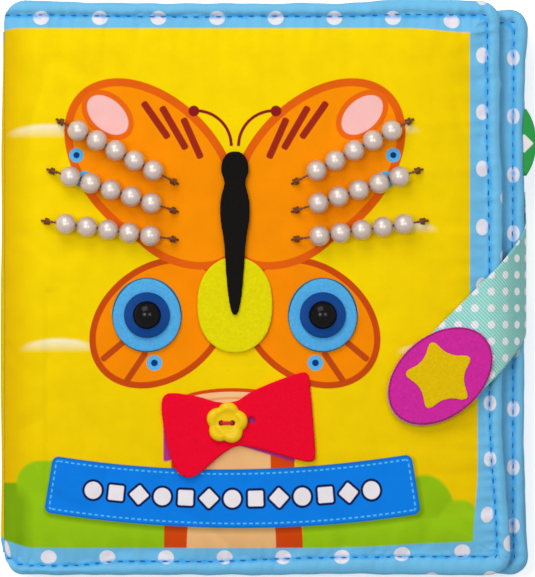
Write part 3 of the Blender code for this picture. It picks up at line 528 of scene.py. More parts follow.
def printed_bow(material, flat):
    """Where the printed bow is that the felt one lies on."""
    bow = add_node(material, "VectorMath", {0: flat, 1: (-13.35, -53.4, 0)}, operation="SUBTRACT")
    bow = add_node(material, "VectorMath", {0: bow.outputs[0]}, operation="ABSOLUTE")
    bow = add_node(material, "SeparateXYZ", {0: bow.outputs[0]})
    rise = add_node(material, "Math", {0: bow.outputs[0], 1: -0.30, 2: -4.6}, operation="MULTIPLY_ADD")
    rise = add_node(material, "Math", {0: bow.outputs[1], 1: rise.outputs[0]}, operation="ADD")
    reach = add_node(material, "Math", {0: bow.outputs[0], 1: 25.4}, operation="SUBTRACT")
    edge = add_node(material, "Math", {0: rise.outputs[0], 1: reach.outputs[0], 2: 2.0}, operation="SMOOTH_MAX")
    return inside(material, edge.outputs[0], 0.0, 0.3)


def front_print(material, place):
    """The whole printed panel, with painted shade on its yellow ground."""
    flat = in_millimetres(material, place)
    parts = add_node(material, "SeparateXYZ", {0: flat})
    across, up = parts.outputs[0], parts.outputs[1]
    pulled = pulled_place(material, parts)
    colour = linear(BORDER_BLUE)
    for start in ((-85.9, 105.6), (-83.0, -102.2), (-74.6, 115.8), (-72.1, -112.6)):
        dots = dot_mask(material, pulled, start, (DOT_PITCH, None), DOT_RADIUS, END_SQUASH)
        colour = ink(material, colour, dots, DOT_PALE)
    for start in ((84.1, 92.8), (93.5, 81.5)):
        dots = dot_mask(material, pulled, start, (None, DOT_PITCH), DOT_RADIUS, SIDE_SQUASH)
        colour = ink(material, colour, times(material, dots, ramp(material, up, -103, -102)), DOT_PALE)
    colour = ink(material, colour, oval_mask(material, flat, (-98.9, -98.9), (0.9, 3.2), 16), DOT_PALE)
    panel = box_distance(material, pulled, (-110.35, 1.55), (189.65, 100.15), 0.3)
    # Painted shade: the yellow ground is darker towards the foot, as if lit from the head, and darker again at the
    # spine and at the fore edge.
    height = add_node(material, "MapRange", {"Value": up, "From Min": -90.0, "From Max": 20.0})
    ground = add_node(material, "Mix", {0: height.outputs[0], 6: linear("#F2CC00"), 7: linear("#FDDA00")},
                      data_type="RGBA").outputs[2]
    ground = ink(material, ground, ramp(material, across, -86, -102, 0.8), "#E2B200")
    ground = ink(material, ground, ramp(material, across, 40, 80, 0.4), "#EAC000")
    ground = scenery(material, ground, flat, parts)
    ground = ink(material, ground, printed_bow(material, flat), "#B8348C")
    ground = butterfly(material, ground, flat)
    ground = banner(material, ground, flat)
    colour = ink(material, colour, inside(material, panel, 0.0, 0.3), ground)
    return groove_with_painted_shade(material, colour, seam_place(material, parts), *FRONT_OUTLINE, COVER_ROLL)


def back_print(material, place):
    """Plain yellow with the same border."""
    flat = in_millimetres(material, place)
    panel = box_distance(material, flat, (-60, 0), (140.6, 98.0), 0.3)
    colour = ink(material, dotted_blue(material, place), inside(material, panel, 0.0, 0.3), "#F8D800")
    return groove_with_painted_shade(material, colour, flat, *LEAF_OUTLINE, COVER_ROLL)


FRONT_COTTON = cotton("printed_cotton_front", COVER_YELLOW, front_print)
BACK_COTTON = cotton("printed_cotton_back", COVER_YELLOW, back_print)
print("nodes in the front print:", len(FRONT_COTTON.node_tree.nodes))

# %% [markdown]
# A leaf is two cloths sewn face to face, turned out and filled. Its section is the same on three sides: a
# fat roll outside the line of stitches, a deep groove where the thread pulls both cloths together, and
# then a long crown. At the spine there is no seam, so the cloth just folds over. The outline is a
# grid whose corners are pushed into arcs, and every height is worked out from the distance to that outline.

# %% The shape of a padded leaf
HINGE_X = cad_low.x
STITCH_LEVEL = 0.75 * MM
ROLL_RISE = 2.0 * MM
CROWN_RUN = 15.0 * MM
FOLD_RUN = 9.0 * MM
EDGE_RUN = 9.0 * MM
CORNER = CORNER_RADIUS * MM
STITCH_PITCH = 4.3 * MM
STITCH_LENGTH = 2.2 * MM
CLOTH = 0.6 * MM
PULL_RUN = 45 * MM
SEWN_CORNER = 1.2 * MM


def clamped(share):
    """A share kept between 0 and 1."""
    return min(1.0, max(0.0, share))


def smooth(value, start, end):
    """A smooth rise from 0 to 1 between two values."""
    share = clamped((value - start) / (end - start))
    return share * share * (3 - 2 * share)


def pull(value, steps):
    """The same rises and falls as in the print, in metres."""
    return sum(height * MM * smooth(value / MM, start, end) for start, end, height in steps)


class Leaf:
    """The outline of one leaf, its middle height and half its thickness."""

    def __init__(self, upper, lower, left, run, seed):
        self.is_front = upper.startswith("front")
        low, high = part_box(lower)[0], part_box(upper)[1]
        self.left = left
        self.run = run * MM
        self.right = min(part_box(lower)[1].x, LEAF_OUTLINE[0] * MM)
        self.foot, self.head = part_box(lower)[0].y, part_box(lower)[1].y
        self.middle = (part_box(lower)[1].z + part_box(upper)[0].z) / 2
        self.half = self.middle - low.z
        self.seed = seed
        self.stitches = self.stitch_line()
        self.tree = kd_of([place for place, turn in self.stitches])

    def inset(self, x, y):
        """Distance from a place to the outline, inwards."""
        half_x, half_y = (self.right - self.left) / 2, (self.head - self.foot) / 2
        past_x = abs(x - (self.left + self.right) / 2) - (half_x - CORNER)
        past_y = abs(y - (self.foot + self.head) / 2) - (half_y - CORNER)
        outside = math.hypot(max(past_x, 0), max(past_y, 0)) + min(max(past_x, past_y), 0)
        return CORNER - outside

    def sewn_inset(self, x, y):
        """The same distance, but only from the three sewn sides."""
        if x < self.left + 2 * CORNER:
            return min(y - self.foot, self.head - y)
        return self.inset(x, y)

    def stitch_line(self):
        """Places and directions of the stitches, from the spine round the fore edge and back."""
        radius = SEWN_CORNER
        top, bottom, side = self.head - self.run, self.foot + self.run, self.right - self.run
        start = self.left + 1.3 * MM
        turns = [math.pi / 8 * part for part in (1, 2, 3)]
        line = [(start, top), (side - radius, top)]
        line += [(side - radius + radius * math.sin(a), top - radius + radius * math.cos(a)) for a in turns]
        line += [(side, top - radius), (side, bottom + radius)]
        line += [(side - radius + radius * math.cos(a), bottom + radius - radius * math.sin(a)) for a in turns]
        line += [(side - radius, bottom), (start, bottom)]
        spots, walked, wanted = [], 0.0, 0.0
        for a, b in zip(line, line[1:]):
            length = math.dist(a, b)
            while wanted <= walked + length:
                share = (wanted - walked) / length
                wave = 0.8 * MM * noise.noise(Vector((wanted * 22, self.seed, 0)))
                turn = math.atan2(b[1] - a[1], b[0] - a[0])
                across = Vector((-math.sin(turn), math.cos(turn))) * wave
                spots.append((Vector((a[0] + (b[0] - a[0]) * share + across.x,
                                      a[1] + (b[1] - a[1]) * share + across.y, 0)), turn))
                wanted += STITCH_PITCH * (1 + 0.12 * noise.noise(Vector((wanted * 90, self.seed + 5, 0))))
            walked += length
        return spots

    def section(self, inset):
        """Height of the cloth above the leaf's middle, without folds."""
        if inset < self.run:
            share = max(0.0, inset / self.run)
            return STITCH_LEVEL * share + ROLL_RISE * math.sin(math.pi * share) ** (0.5 + 0.4 * share)
        share = min(1.0, (inset - self.run) / CROWN_RUN)
        return STITCH_LEVEL + (self.half - STITCH_LEVEL) * math.sin(math.pi / 2 * share) ** 0.8

    def fold(self, x):
        """Height of the cloth where it folds over at the spine."""
        share = clamped((x - self.left) / FOLD_RUN)
        return self.half * math.sqrt(1 - (1 - share) ** 2)

    def drawn_out(self, x, y):
        """Where a place lies after the filling has pulled the leaf out of line."""
        inset = self.sewn_inset(x, y)
        edge = max(0.0, 1 - inset / EDGE_RUN)
        if self.is_front:
            seam = smooth(inset, 0, self.run) * (1 - smooth(inset, self.run, 20 * MM))
            far = smooth(x / MM, 55, 84)
            lower, upper = smooth(y / MM, -60, -90), smooth(y / MM, 60, 90)
            rise = pull(x, FOOT_PULL) * seam * lower + pull(x, ((-60, -85, 1.0), (30, 55, 1.0))) * edge * upper
            return x + pull(y, SIDE_PULL) * far, y + rise * (1 - smooth(x / MM, 86, 91) * lower)
        ear = 1.5 * MM * math.exp(-(math.dist((x, abs(y)), (self.right, self.head)) / (13 * MM)) ** 2)
        side = (pull(y, ((35, 85, 0.8), (-40, -95, 0.8))) - 0.35 * MM) * edge * smooth(x / MM, 80, 95)
        return x + side + ear * edge, y + math.copysign(ear * edge, y)

    def puckers(self, x, y, side, inset):
        """Rise and fall of the cloth from the pull of the nearest stitch."""
        spot, index, away = self.tree.find((x, y, 0))
        turn = self.stitches[index][1]
        along = (x - spot.x) * math.cos(turn) + (y - spot.y) * math.sin(turn)
        strength = 0.7 + 1.1 * noise.noise(Vector((index * 1.7, self.seed, side)))
        off = inset - self.run
        near = min(1.0, abs(off) / (0.7 * MM))
        reach = near * math.exp(-(off / (2.6 * MM if off < 0 else 4.6 * MM)) ** 2)
        rise = -strength * 0.5 * MM * reach * math.cos(2 * math.pi * along / STITCH_PITCH)
        rise -= 0.25 * MM * math.exp(-(away / (0.9 * MM)) ** 2)
        walked = index * STITCH_PITCH + along
        far = near * math.exp(-abs(off) / (3.0 * MM if off < 0 else 13 * MM))
        beside = abs(min(self.head - y, y - self.foot) - (self.right - x))
        far *= min(1.0, beside / EDGE_RUN) if off > 0 else 1.0
        crease = noise.noise(Vector((walked * 105, off * 24, self.seed + side)))
        crease += 0.7 * noise.noise(Vector((walked * 240, off * 40, self.seed - side)))
        return rise + far * (1.5 * crease - 0.35) * MM

    def height(self, x, y, side):
        """Height above the middle, with the pull of each stitch and the slack of the cloth."""
        inset = self.sewn_inset(x, y)
        level = min(self.section(inset), self.fold(x))
        least = min(level, 1.05 * CLOTH)
        if inset < PULL_RUN:
            level += self.puckers(x, y, side, inset)
        level += clamped((inset - 1.5 * MM) / (8 * MM)) * clamped((x - self.left) / (8 * MM)) * self.slack(x, y, side)
        return min(max(level, least), self.half)

    def slack(self, x, y, side):
        """Soft folds that run slantwise over the cover; they only go down, so the felt stays clear."""
        place = Vector((x * 24 + y * 9, y * 17 - x * 6, self.seed + side))
        slow = noise.noise(place)
        crease = 1 - abs(noise.noise(place * 1.7 + Vector((3.1, 0.7, 0))))
        middle = math.hypot((x - (self.left + self.right) / 2) / 0.1, (y - (self.head + self.foot) / 2) / 0.11)
        outer = 0.5 + 1.5 * min(1.0, middle ** 2)
        return outer * (1.2 * min(0.0, slow - 0.02) - 0.35 * max(0.0, crease - 0.8) * 5) * MM


def kd_of(places):
    """A search tree of places."""
    tree = KDTree(len(places))
    for index, place in enumerate(places):
        tree.insert(place, index)
    tree.balance()
    return tree


ROOT_X = HINGE_X + CLOTH + 0.5 * MM
LEAVES = {
    "front_cover": Leaf("front_cover_cloth", "front_cover_lining", HINGE_X + 0.4 * MM, COVER_ROLL, 3.0),
    "inner_leaf_1": Leaf("inner_leaf_1_upper_cloth", "inner_leaf_1_lower_cloth", ROOT_X, PAGE_ROLL, 11.0),
    "inner_leaf_2": Leaf("inner_leaf_2_upper_cloth", "inner_leaf_2_lower_cloth", ROOT_X, PAGE_ROLL, 19.0),
    "back_cover": Leaf("back_cover_lining", "back_cover_cloth", HINGE_X, COVER_ROLL, 27.0),
}
for word, leaf in LEAVES.items():
    print(word, "middle", round(leaf.middle / MM, 2), "half", round(leaf.half / MM, 2), "right",
          round(leaf.right / MM, 1), "foot and head", round(leaf.foot / MM, 1), round(leaf.head / MM, 1),
          "stitches", len(leaf.stitches))

# %% [markdown]
# Each face is a grid, closer together at the rim where the shape turns fast. The grid's square
# corners are pressed into round ones, ring by ring, which keeps its quads even. Solidify gives the cloth its
# thickness. The two faces of a leaf meet at the seam, half way up its edge.

# %% Face cloths of the leaves
collection = bpy.context.scene.collection
RIM_RUN, RIM_SHARE = 12 * MM, 0.3


def mesh_of(name, bm):
    """A bmesh as a mesh; the bmesh itself goes."""
    mesh = bpy.data.meshes.new(name)
    bm.to_mesh(mesh)
    bm.free()
    return mesh


def add_piece(name, bm, material, smooth=True):
    """Finish a bmesh as a named object at the origin."""
    mesh = mesh_of(name, bm)
    piece = bpy.data.objects.new(name, mesh)
    collection.objects.link(piece)
    mesh.materials.append(material)
    if smooth:
        mesh.shade_smooth()
    return piece


def thicken(piece, name, thickness, offset):
    """Give a sheet its thickness with a live modifier."""
    wall = piece.modifiers.new(name, "SOLIDIFY")
    wall.thickness = thickness
    wall.offset = offset


def spaced(share, half):
    """A share from the middle to the rim as a distance, with more steps in the rim."""
    inner, reach = 1 - RIM_SHARE, abs(share)
    if reach < inner:
        distance = reach / inner * (half - RIM_RUN)
    else:
        distance = half - RIM_RUN + (reach - inner) / RIM_SHARE * RIM_RUN
    return math.copysign(distance, share)


def rounded(x, y, half_x, half_y):
    """Press a place in a square corner into the round corner."""
    past_x, past_y = abs(x) - (half_x - CORNER), abs(y) - (half_y - CORNER)
    if past_x <= 0 or past_y <= 0:
        return x, y
    reach = max(past_x, past_y)
    turn = math.pi / 4 * past_y / past_x if past_x >= past_y else math.pi / 2 - math.pi / 4 * past_x / past_y
    new_x = half_x - CORNER + reach * math.cos(turn)
    new_y = half_y - CORNER + reach * math.sin(turn)
    return math.copysign(new_x, x), math.copysign(new_y, y)


def face_cloth(body, word, side, steps, material, nodes, slot_name):
    """One face of a leaf as a padded cloth, in place of some of its nodes."""
    leaf = LEAVES[body]
    bm = bmesh.new()
    bmesh.ops.create_grid(bm, x_segments=steps[0], y_segments=steps[1], size=1)
    half_x, half_y = (leaf.right - leaf.left) / 2, (leaf.head - leaf.foot) / 2
    centre = Vector(((leaf.right + leaf.left) / 2, (leaf.head + leaf.foot) / 2))
    for vertex in bm.verts:
        x, y = rounded(spaced(vertex.co.x, half_x), spaced(vertex.co.y, half_y), half_x, half_y)
        x, y = x + centre.x, y + centre.y
        height = leaf.height(x, y, side)
        edge = max(0.0, 1 - leaf.sewn_inset(x, y) / EDGE_RUN) if x > leaf.left + CORNER else 0.0
        sway = 0.9 * MM * noise.noise(Vector((x * 26, y * 26, leaf.seed))) * edge
        sway += 0.5 * MM * noise.noise(Vector((x * 120, y * 120, leaf.seed))) * edge ** 2
        outward = Vector((x - centre.x, y - centre.y)).normalized()
        x, y = leaf.drawn_out(x, y)
        vertex.co = (x + outward.x * sway, y + outward.y * sway, leaf.middle + side * height)
    if side < 0:
        bmesh.ops.reverse_faces(bm, faces=bm.faces)
    piece = add_piece(body + "_" + word, bm, material)
    thicken(piece, "cloth thickness", CLOTH, -1)
    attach(piece, body)
    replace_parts(piece, *[body + "_" + node for node in nodes])
    print(piece.name, "faces", len(piece.data.polygons))


FINE, COARSE = (220, 250), (120, 132)
FACES = [("front_cover", "face", 1, FINE, FRONT_COTTON, ["cloth", "crinkle_film", "wadding"], "printed_cotton"),
         ("front_cover", "inside", -1, COARSE, LINING_COTTON, ["lining"], "dotted_cotton")]
for body in ("inner_leaf_1", "inner_leaf_2"):
    FACES += [(body, "upper_face", 1, COARSE, PAGE_COTTON, ["upper_cloth", "wadding"], "plain_cotton"),
              (body, "lower_face", -1, COARSE, PAGE_COTTON, ["lower_cloth"], "plain_cotton")]
FACES += [("back_cover", "inside", 1, COARSE, LINING_COTTON, ["lining", "crinkle_film", "wadding"], "dotted_cotton"),
          ("back_cover", "face", -1, COARSE, BACK_COTTON, ["cloth"], "printed_cotton")]
for face in FACES:
    face_cloth(*face)

# %% [markdown]
# The stitches are a blue thread that shows for 2 mm and then dives through the leaf for 2 mm. Each one is
# a small lens of thread, sunk at both ends. A curve with a dashed material would be lighter, but it would lose
# the dimples that make the edge look sewn.

# %% Stitches round each leaf


def thread(name, colour, **sockets):
    """Spun polyester sewing thread, a little glossy along its ply."""
    material, shader, place = mottled_finish(name, colour, 0.5, 2 * MM, 0.2, Sheen_Weight=0.03,
                                             Specular_IOR_Level=0.3, **sockets)
    ply = add_node(material, "TexWave", {"Vector": place, "Scale": WAVE_PERIOD / (0.45 * MM)},
                   bands_direction="DIAGONAL")
    bump = add_node(material, "Bump", {"Strength": 0.4, "Distance": 0.05 * MM, "Height": ply.outputs["Fac"]})
    join(material, bump.outputs["Normal"], shader, "Normal")
    return material


BLUE_THREAD = thread("blue_sewing_thread", "#0E72B4")
THREAD_WIDTH = 0.52 * MM
ball = bmesh.new()
bmesh.ops.create_uvsphere(ball, u_segments=6, v_segments=6, radius=1, matrix=Matrix.Rotation(math.pi / 2, 4, "Y"))
STITCH = mesh_of("stitch", ball)


def repeat(bm, pattern, matrix):
    """Add a pattern to a bmesh at a place."""
    copy = pattern.copy()
    copy.transform(matrix)
    bm.from_mesh(copy)
    bpy.data.meshes.remove(copy)


def add_stitch(bm, place, turn, length, width, height):
    """One stitch as a stretched ball of a few faces."""
    matrix = Matrix.Translation(place) @ Matrix.Rotation(turn, 4, "Z")
    repeat(bm, STITCH, matrix @ Matrix.Diagonal((length / 2, width / 2, height / 2, 1)))


def sew_leaf(body, leaf):
    """Both rows of stitches of one leaf, one row on each face."""
    bm = bmesh.new()
    for side in (1, -1):
        for place, turn in leaf.stitches:
            level = leaf.height(place.x, place.y, side) + 0.24 * MM
            spot = Vector((*leaf.drawn_out(place.x, place.y), leaf.middle + side * level))
            add_stitch(bm, spot, turn, STITCH_LENGTH, THREAD_WIDTH, THREAD_WIDTH)
    piece = add_piece(body + "_stitching", bm, BLUE_THREAD)
    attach(piece, body)
    return piece


for body, leaf in LEAVES.items():
    sewn = sew_leaf(body, leaf)
    print(sewn.name, "stitches", 2 * len(leaf.stitches), "faces", len(sewn.data.polygons))

# %% [markdown]
# At the spine one cloth runs from the front cover round the roots of the pages to the back cover. It is made in three
# strips, each from the middle of one leaf to that of the next. The print runs on round the spine, yellow with blue
# ends. The strips have a UV map in metres, because they fold and the print has to fold with them. Only the strip by
# the front cover bulges, as in the photograph; the others lie flat, so that an opened cover doesn't press into them.

# %% Spine cloth
SPINE_END = 100.4 * MM
SPINE_YELLOW = "#F0C800"
SPINE_BULGE = {"front": 0.8 * MM, "middle": 0.1 * MM, "back": 0.1 * MM}


def spine_print(material, place):
    """Yellow cloth with dotted blue ends, laid out by its own length and height."""
    flat = in_millimetres(material, place)
    colour = linear(BORDER_BLUE)
    for start in ((8.0, 104.0), (8.0, -104.5), (-3.0, 98.0), (19.0, -98.0)):
        colour = ink(material, colour, oval_mask(material, flat, start, (DOT_RADIUS, DOT_RADIUS)), DOT_PALE)
    return ink(material, colour, box_mask(material, flat, (0, 1), (60, 95.5), 0.5), SPINE_YELLOW)


SPINE_COTTON = cotton("printed_cotton_spine", SPINE_YELLOW, spine_print, from_uv=True)


def unfold(bm, layout, flat):
    """Fill a UV map in metres from the flat place of every vertex."""
    for face in bm.faces:
        for loop in face.loops:
            loop[layout].uv = flat[loop.vert]


def spine_strip(word, upper_body, lower_body):
    """A strip of cloth down the spine from the middle of one leaf to that of the next."""
    high, low = LEAVES[upper_body].middle, LEAVES[lower_body].middle
    bm = bmesh.new()
    bmesh.ops.create_grid(bm, x_segments=14, y_segments=100, size=1)
    layout = bm.loops.layers.uv.new("cloth")
    flat = {}
    for vertex in bm.verts:
        share, y = (1 - vertex.co.x) / 2, vertex.co.y * SPINE_END
        z = high + (low - high) * share
        swell = SPINE_BULGE[word] * math.sin(math.pi * share) * (1 + 0.6 * noise.noise(Vector((y * 30, z * 60, 2))))
        swell *= smooth(y, SPINE_END, SPINE_END - 50 * MM) * smooth(y, -SPINE_END, 5 * MM - SPINE_END)
        flat[vertex] = (z, y)
        vertex.co = (HINGE_X - swell, y, z)
    unfold(bm, layout, flat)
    bmesh.ops.recalc_face_normals(bm, faces=bm.faces)
    if next(iter(bm.faces)).normal.x > 0:
        bmesh.ops.reverse_faces(bm, faces=bm.faces)
    piece = add_piece("spine_strip_" + word, bm, SPINE_COTTON)
    thicken(piece, "cloth thickness", CLOTH, -1)
    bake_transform(piece)
    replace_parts(piece, "spine_cloth")


for word, upper_body, lower_body in zip(SPINE_BULGE, LEAVES, list(LEAVES)[1:]):
    spine_strip(word, upper_body, lower_body)

# %% [markdown]
# Felt is matted wool or acrylic, cut with shears. It has no weave, its cut edge is soft, and its face is a
# little lumpy. So each piece starts as a flat outline, is remeshed into even grains finer than half a
# millimetre, and is then smoothed and roughened in code. The edge comes out round and fuzzy, as a cut felt edge is,
# which a plain bevel wouldn't give. Fibres finer than that are drawn by a tangled noise.

# %% Felt
FELT_GRAIN = 0.42 * MM


def felt(name, colour, lighter, spread=0.14):
    """Matted fibre: dull, mottled, with a short nap that catches the light."""
    material, shader = new_finish(name, colour, 0.95, Sheen_Weight=0.10, Sheen_Roughness=0.6,
                                  Sheen_Tint=linear(lighter), Specular_IOR_Level=0.12)
    place = coordinates(material)
    join(material, uneven(material, linear(colour), place, 1.1 * MM, spread), shader, "Base Color")
    tangle = add_node(material, "TexNoise", {"Vector": place, "Scale": 1 / (0.55 * MM), "Detail": 5.0,
                                             "Roughness": 0.7, "Distortion": 1.6})
    bump = add_node(material, "Bump", {"Strength": 0.55, "Distance": 0.18 * MM, "Height": tangle.outputs["Fac"]})
    join(material, bump.outputs["Normal"], shader, "Normal")
    return material


def ellipse(width, height, steps=96, x=0.0, y=0.0, tilt=0.0, pinch=0.0):
    """Points round an ellipse; pinch makes its upper end narrower, as on an egg."""
    points = []
    for step in range(steps):
        angle = 2 * math.pi * step / steps
        spot = Vector((width / 2 * math.cos(angle) * (1 - pinch * math.sin(angle)), height / 2 * math.sin(angle)))
        spot.rotate(Matrix.Rotation(tilt, 2))
        points.append((x + spot.x, y + spot.y))
    return points


def cut_corners(points, passes=3):
    """Round an outline by cutting every corner at a quarter of its sides."""
    for _ in range(passes):
        points = [spot for a, b in zip(points, points[1:] + points[:1])
                  for spot in ((0.75 * a[0] + 0.25 * b[0], 0.75 * a[1] + 0.25 * b[1]),
                               (0.25 * a[0] + 0.75 * b[0], 0.25 * a[1] + 0.75 * b[1]))]
    return points


def both_halves(half, width, height):
    """A closed outline from its right half, which runs from the top to the bottom."""
    right = [(x * width / 2, y * height / 2) for x, y in half]
    return right + [(-x, y) for x, y in reversed(right)]


def made_mesh(piece):
    """The mesh of an object with its modifiers or its curve worked out; the object itself goes."""
    collection.objects.link(piece)
    bpy.context.view_layer.update()
    shape = piece.evaluated_get(bpy.context.evaluated_depsgraph_get())
    mesh = bpy.data.meshes.new_from_object(shape)
    bpy.data.objects.remove(piece)
    return mesh


def flat_cut(name, outlines, thickness):
    """A flat sheet from closed outlines, as a mesh; inner outlines are holes."""
    curve = bpy.data.curves.new(name, "CURVE")
    curve.dimensions = "2D"
    curve.fill_mode = "BOTH"
    curve.extrude = thickness / 2
    for outline in outlines:
        spline = curve.splines.new("POLY")
        spline.points.add(len(outline) - 1)
        for point, (x, y) in zip(spline.points, outline):
            point.co = (x, y, 0, 1)
        spline.use_cyclic_u = True
    return made_mesh(bpy.data.objects.new(name, curve))


def cut_felt(name, outlines, place, turn, material, body, node=None, bottom=None, thickness=None, grain=None):
    """A felt piece from outlines about its own origin; it takes its height from the node it stands for."""
    if node:
        low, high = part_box(node)
        bottom, thickness = low.z, high.z - low.z
    solid = bpy.data.objects.new(name, flat_cut(name, outlines, thickness))
    grains = solid.modifiers.new("even grains", "REMESH")
    grains.mode = "VOXEL"
    grains.voxel_size = grain or min(FELT_GRAIN, thickness / 2.2)
    bm = bmesh.new()
    bm.from_mesh(made_mesh(solid))
    for _ in range(3):
        bmesh.ops.smooth_vert(bm, verts=bm.verts, factor=0.5, use_axis_x=True, use_axis_y=True, use_axis_z=True)
    bm.normal_update()
    seed = len(name) * 1.7
    for vertex in bm.verts:
        grain = noise.noise(vertex.co * 1500 + Vector((seed, 0, 0))) * 0.045 * MM
        lump = noise.noise(vertex.co * 260 + Vector((0, seed, 0))) * 0.07 * MM
        vertex.co += vertex.normal * (grain + lump)
    matrix = Matrix.Translation((place[0], place[1], bottom + thickness / 2)) @ Matrix.Rotation(turn, 4, "Z")
    bm.transform(matrix)
    piece = add_piece(name, bm, material)
    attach(piece, body)
    if node:
        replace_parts(piece, node)
    print(name, "faces", len(piece.data.polygons))
    return piece


BLUE_FELT = felt("light_blue_felt", "#55B2EC", "#9AD4F8")
YELLOW_FELT = felt("yellow_felt", "#EBDF00", "#FFF56A", 0.10)
BLACK_FELT = felt("black_felt", "#120E0E", "#5A5250", 0.3)
RED_FELT = felt("red_felt", "#F4022C", "#FF5A6A", 0.08)
MAGENTA_FELT = felt("magenta_felt", "#D62AA2", "#F078CC", 0.16)
PALE_FELT = felt("pale_felt", "#BDB0A6", "#E6DED6", 0.12)

# %% [markdown]
# The wing spots are blue felt eggs, each with a printed plastic disc and a black dome. The yellow felt is the
# insect's tail, and the long black felt is its body.

# %% Felt on the cover
OVAL_SIZE = seen_size("left_oval_felt")
for word in ("left", "right"):
    node = word + "_oval_felt"
    cut_felt(node + "_sheet", [ellipse(*OVAL_SIZE, pinch=0.06)], box_middle(node), 0, BLUE_FELT,
                     "front_cover", node)

TAIL_SIZE = seen_size("tail_felt")


def two_lobes(width, length, steps=120):
    """Points round a shape with two full ends and flatter sides between them."""
    points = []
    for step in range(steps):
        angle = 2 * math.pi * step / steps
        reach = math.hypot(width / 2 * math.cos(angle), length / 2 * math.sin(angle))
        points.append((reach * math.cos(angle), reach * math.sin(angle)))
    return points


tail = cut_felt("tail_felt_sheet", [two_lobes(*TAIL_SIZE)], box_middle("tail_felt"), 0, YELLOW_FELT,
                "front_cover", "tail_felt")

BODY_HALF = ((0.45, 0.97), (0.85, 0.86), (0.95, 0.74), (0.62, 0.60), (0.95, 0.42),
             (1.00, 0.18), (0.70, -0.10), (0.60, -0.45), (0.42, -0.80), (0.18, -0.98))
body_outline = cut_corners(both_halves(BODY_HALF, 11.8 * MM, 64.6 * MM), 2)
cut_felt("body_felt_sheet", [body_outline], box_middle("body_felt"), 0, BLACK_FELT, "front_cover",
                 "body_felt")

# %% [markdown]
# Small parts that are round about one line, such as the discs, domes and beads, are turned: a line of points is
# spun a full turn about its axis, and the seam is merged.

# %% Discs and domes


def turned_mesh(profile, steps, closed=False):
    """Spin a line of distances from the axis and heights about Z."""
    bm = bmesh.new()
    line = [bm.verts.new((radius, 0, height)) for radius, height in profile]
    pairs = list(zip(line, line[1:])) + ([(line[-1], line[0])] if closed else [])
    edges = [bm.edges.new(pair) for pair in pairs]
    bmesh.ops.spin(bm, geom=line + edges, cent=(0, 0, 0), axis=(0, 0, 1), dvec=(0, 0, 0),
                   angle=2 * math.pi, steps=steps, use_merge=True, use_duplicate=False)
    bmesh.ops.remove_doubles(bm, verts=bm.verts, dist=MM / 1000)
    bmesh.ops.recalc_face_normals(bm, faces=bm.faces)
    return bm


def arc(centre, radius, start, end, steps):
    """Points of an arc from one angle to another, in degrees, measured from the outward direction."""
    angles = [math.radians(start + (end - start) * step / steps) for step in range(steps + 1)]
    return [(centre[0] + radius * math.cos(a), centre[1] + radius * math.sin(a)) for a in angles]


DISC_RADIUS, DISC_THICKNESS = 8.8 * MM, 1.2 * MM
DOME_RADIUS, DOME_RISE = 5.4 * MM, 4.0 * MM
EDGE_RADIUS = 0.35 * MM

# Moulded PVC is smooth and even; its gloss is a little dulled by handling
DISC_PLASTIC, disc_shader = new_finish("moulded_blue_plastic", "#06438C", 0.38, Specular_IOR_Level=0.06)
disc_place = coordinates(DISC_PLASTIC)
join(DISC_PLASTIC, uneven(DISC_PLASTIC, linear("#06438C"), disc_place, 3 * MM, 0.06), disc_shader, "Base Color")
scuffs = add_node(DISC_PLASTIC, "TexNoise", {"Vector": disc_place, "Scale": 1 / (1.5 * MM), "Detail": 6.0})
gloss = add_node(DISC_PLASTIC, "MapRange", {"Value": scuffs.outputs["Fac"], "From Min": 0.35, "From Max": 0.7,
                                            "To Min": 0.3, "To Max": 0.5})
join(DISC_PLASTIC, gloss.outputs[0], disc_shader, "Roughness")

# A glossy acrylic dome is black right through; its shine is a little dulled, so the lamps show as soft spots
DOME_ACRYLIC, dome_shader = new_finish("black_acrylic", "#040306", 0.2, Specular_IOR_Level=0.05, Coat_Weight=0.18,
                                       Coat_Roughness=0.12)
dome_place = coordinates(DOME_ACRYLIC)
smears = add_node(DOME_ACRYLIC, "TexNoise", {"Vector": dome_place, "Scale": 1 / (2.2 * MM), "Detail": 3.0})
gloss = add_node(DOME_ACRYLIC, "MapRange", {"Value": smears.outputs["Fac"], "To Min": 0.12, "To Max": 0.26})
join(DOME_ACRYLIC, gloss.outputs[0], dome_shader, "Roughness")

for word in ("left", "right"):
    node = word + "_domed_disc"
    middle, bottom = box_middle(node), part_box(node)[0].z
    edge = DISC_RADIUS - EDGE_RADIUS
    profile = [(0, 0)] + arc((edge, EDGE_RADIUS), EDGE_RADIUS, -90, 0, 3)
    profile += arc((edge, DISC_THICKNESS - EDGE_RADIUS), EDGE_RADIUS, 0, 90, 3)
    profile.append((DOME_RADIUS - 0.3 * MM, DISC_THICKNESS))
    bm = turned_mesh(profile + [(0, DISC_THICKNESS)], 72)
    bmesh.ops.translate(bm, verts=bm.verts, vec=(middle.x, middle.y, bottom))
    disc = add_piece(node + "_plate", bm, DISC_PLASTIC)
    crown = [(DOME_RADIUS * math.cos(math.radians(a)), DISC_THICKNESS + DOME_RISE * math.sin(math.radians(a)))
             for a in range(0, 91, 6)]
    bm = turned_mesh([(0, DISC_THICKNESS * 0.8), (DOME_RADIUS, DISC_THICKNESS * 0.8)] + crown, 56)
    bmesh.ops.translate(bm, verts=bm.verts, vec=(middle.x, middle.y, bottom))
    dome = add_piece(node + "_dome", bm, DOME_ACRYLIC)
    for piece in (disc, dome):
        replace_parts(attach(piece, "front_cover"), node)
    print(disc.name, "top in mm:", round((bottom + DISC_THICKNESS + DOME_RISE) / MM, 2))

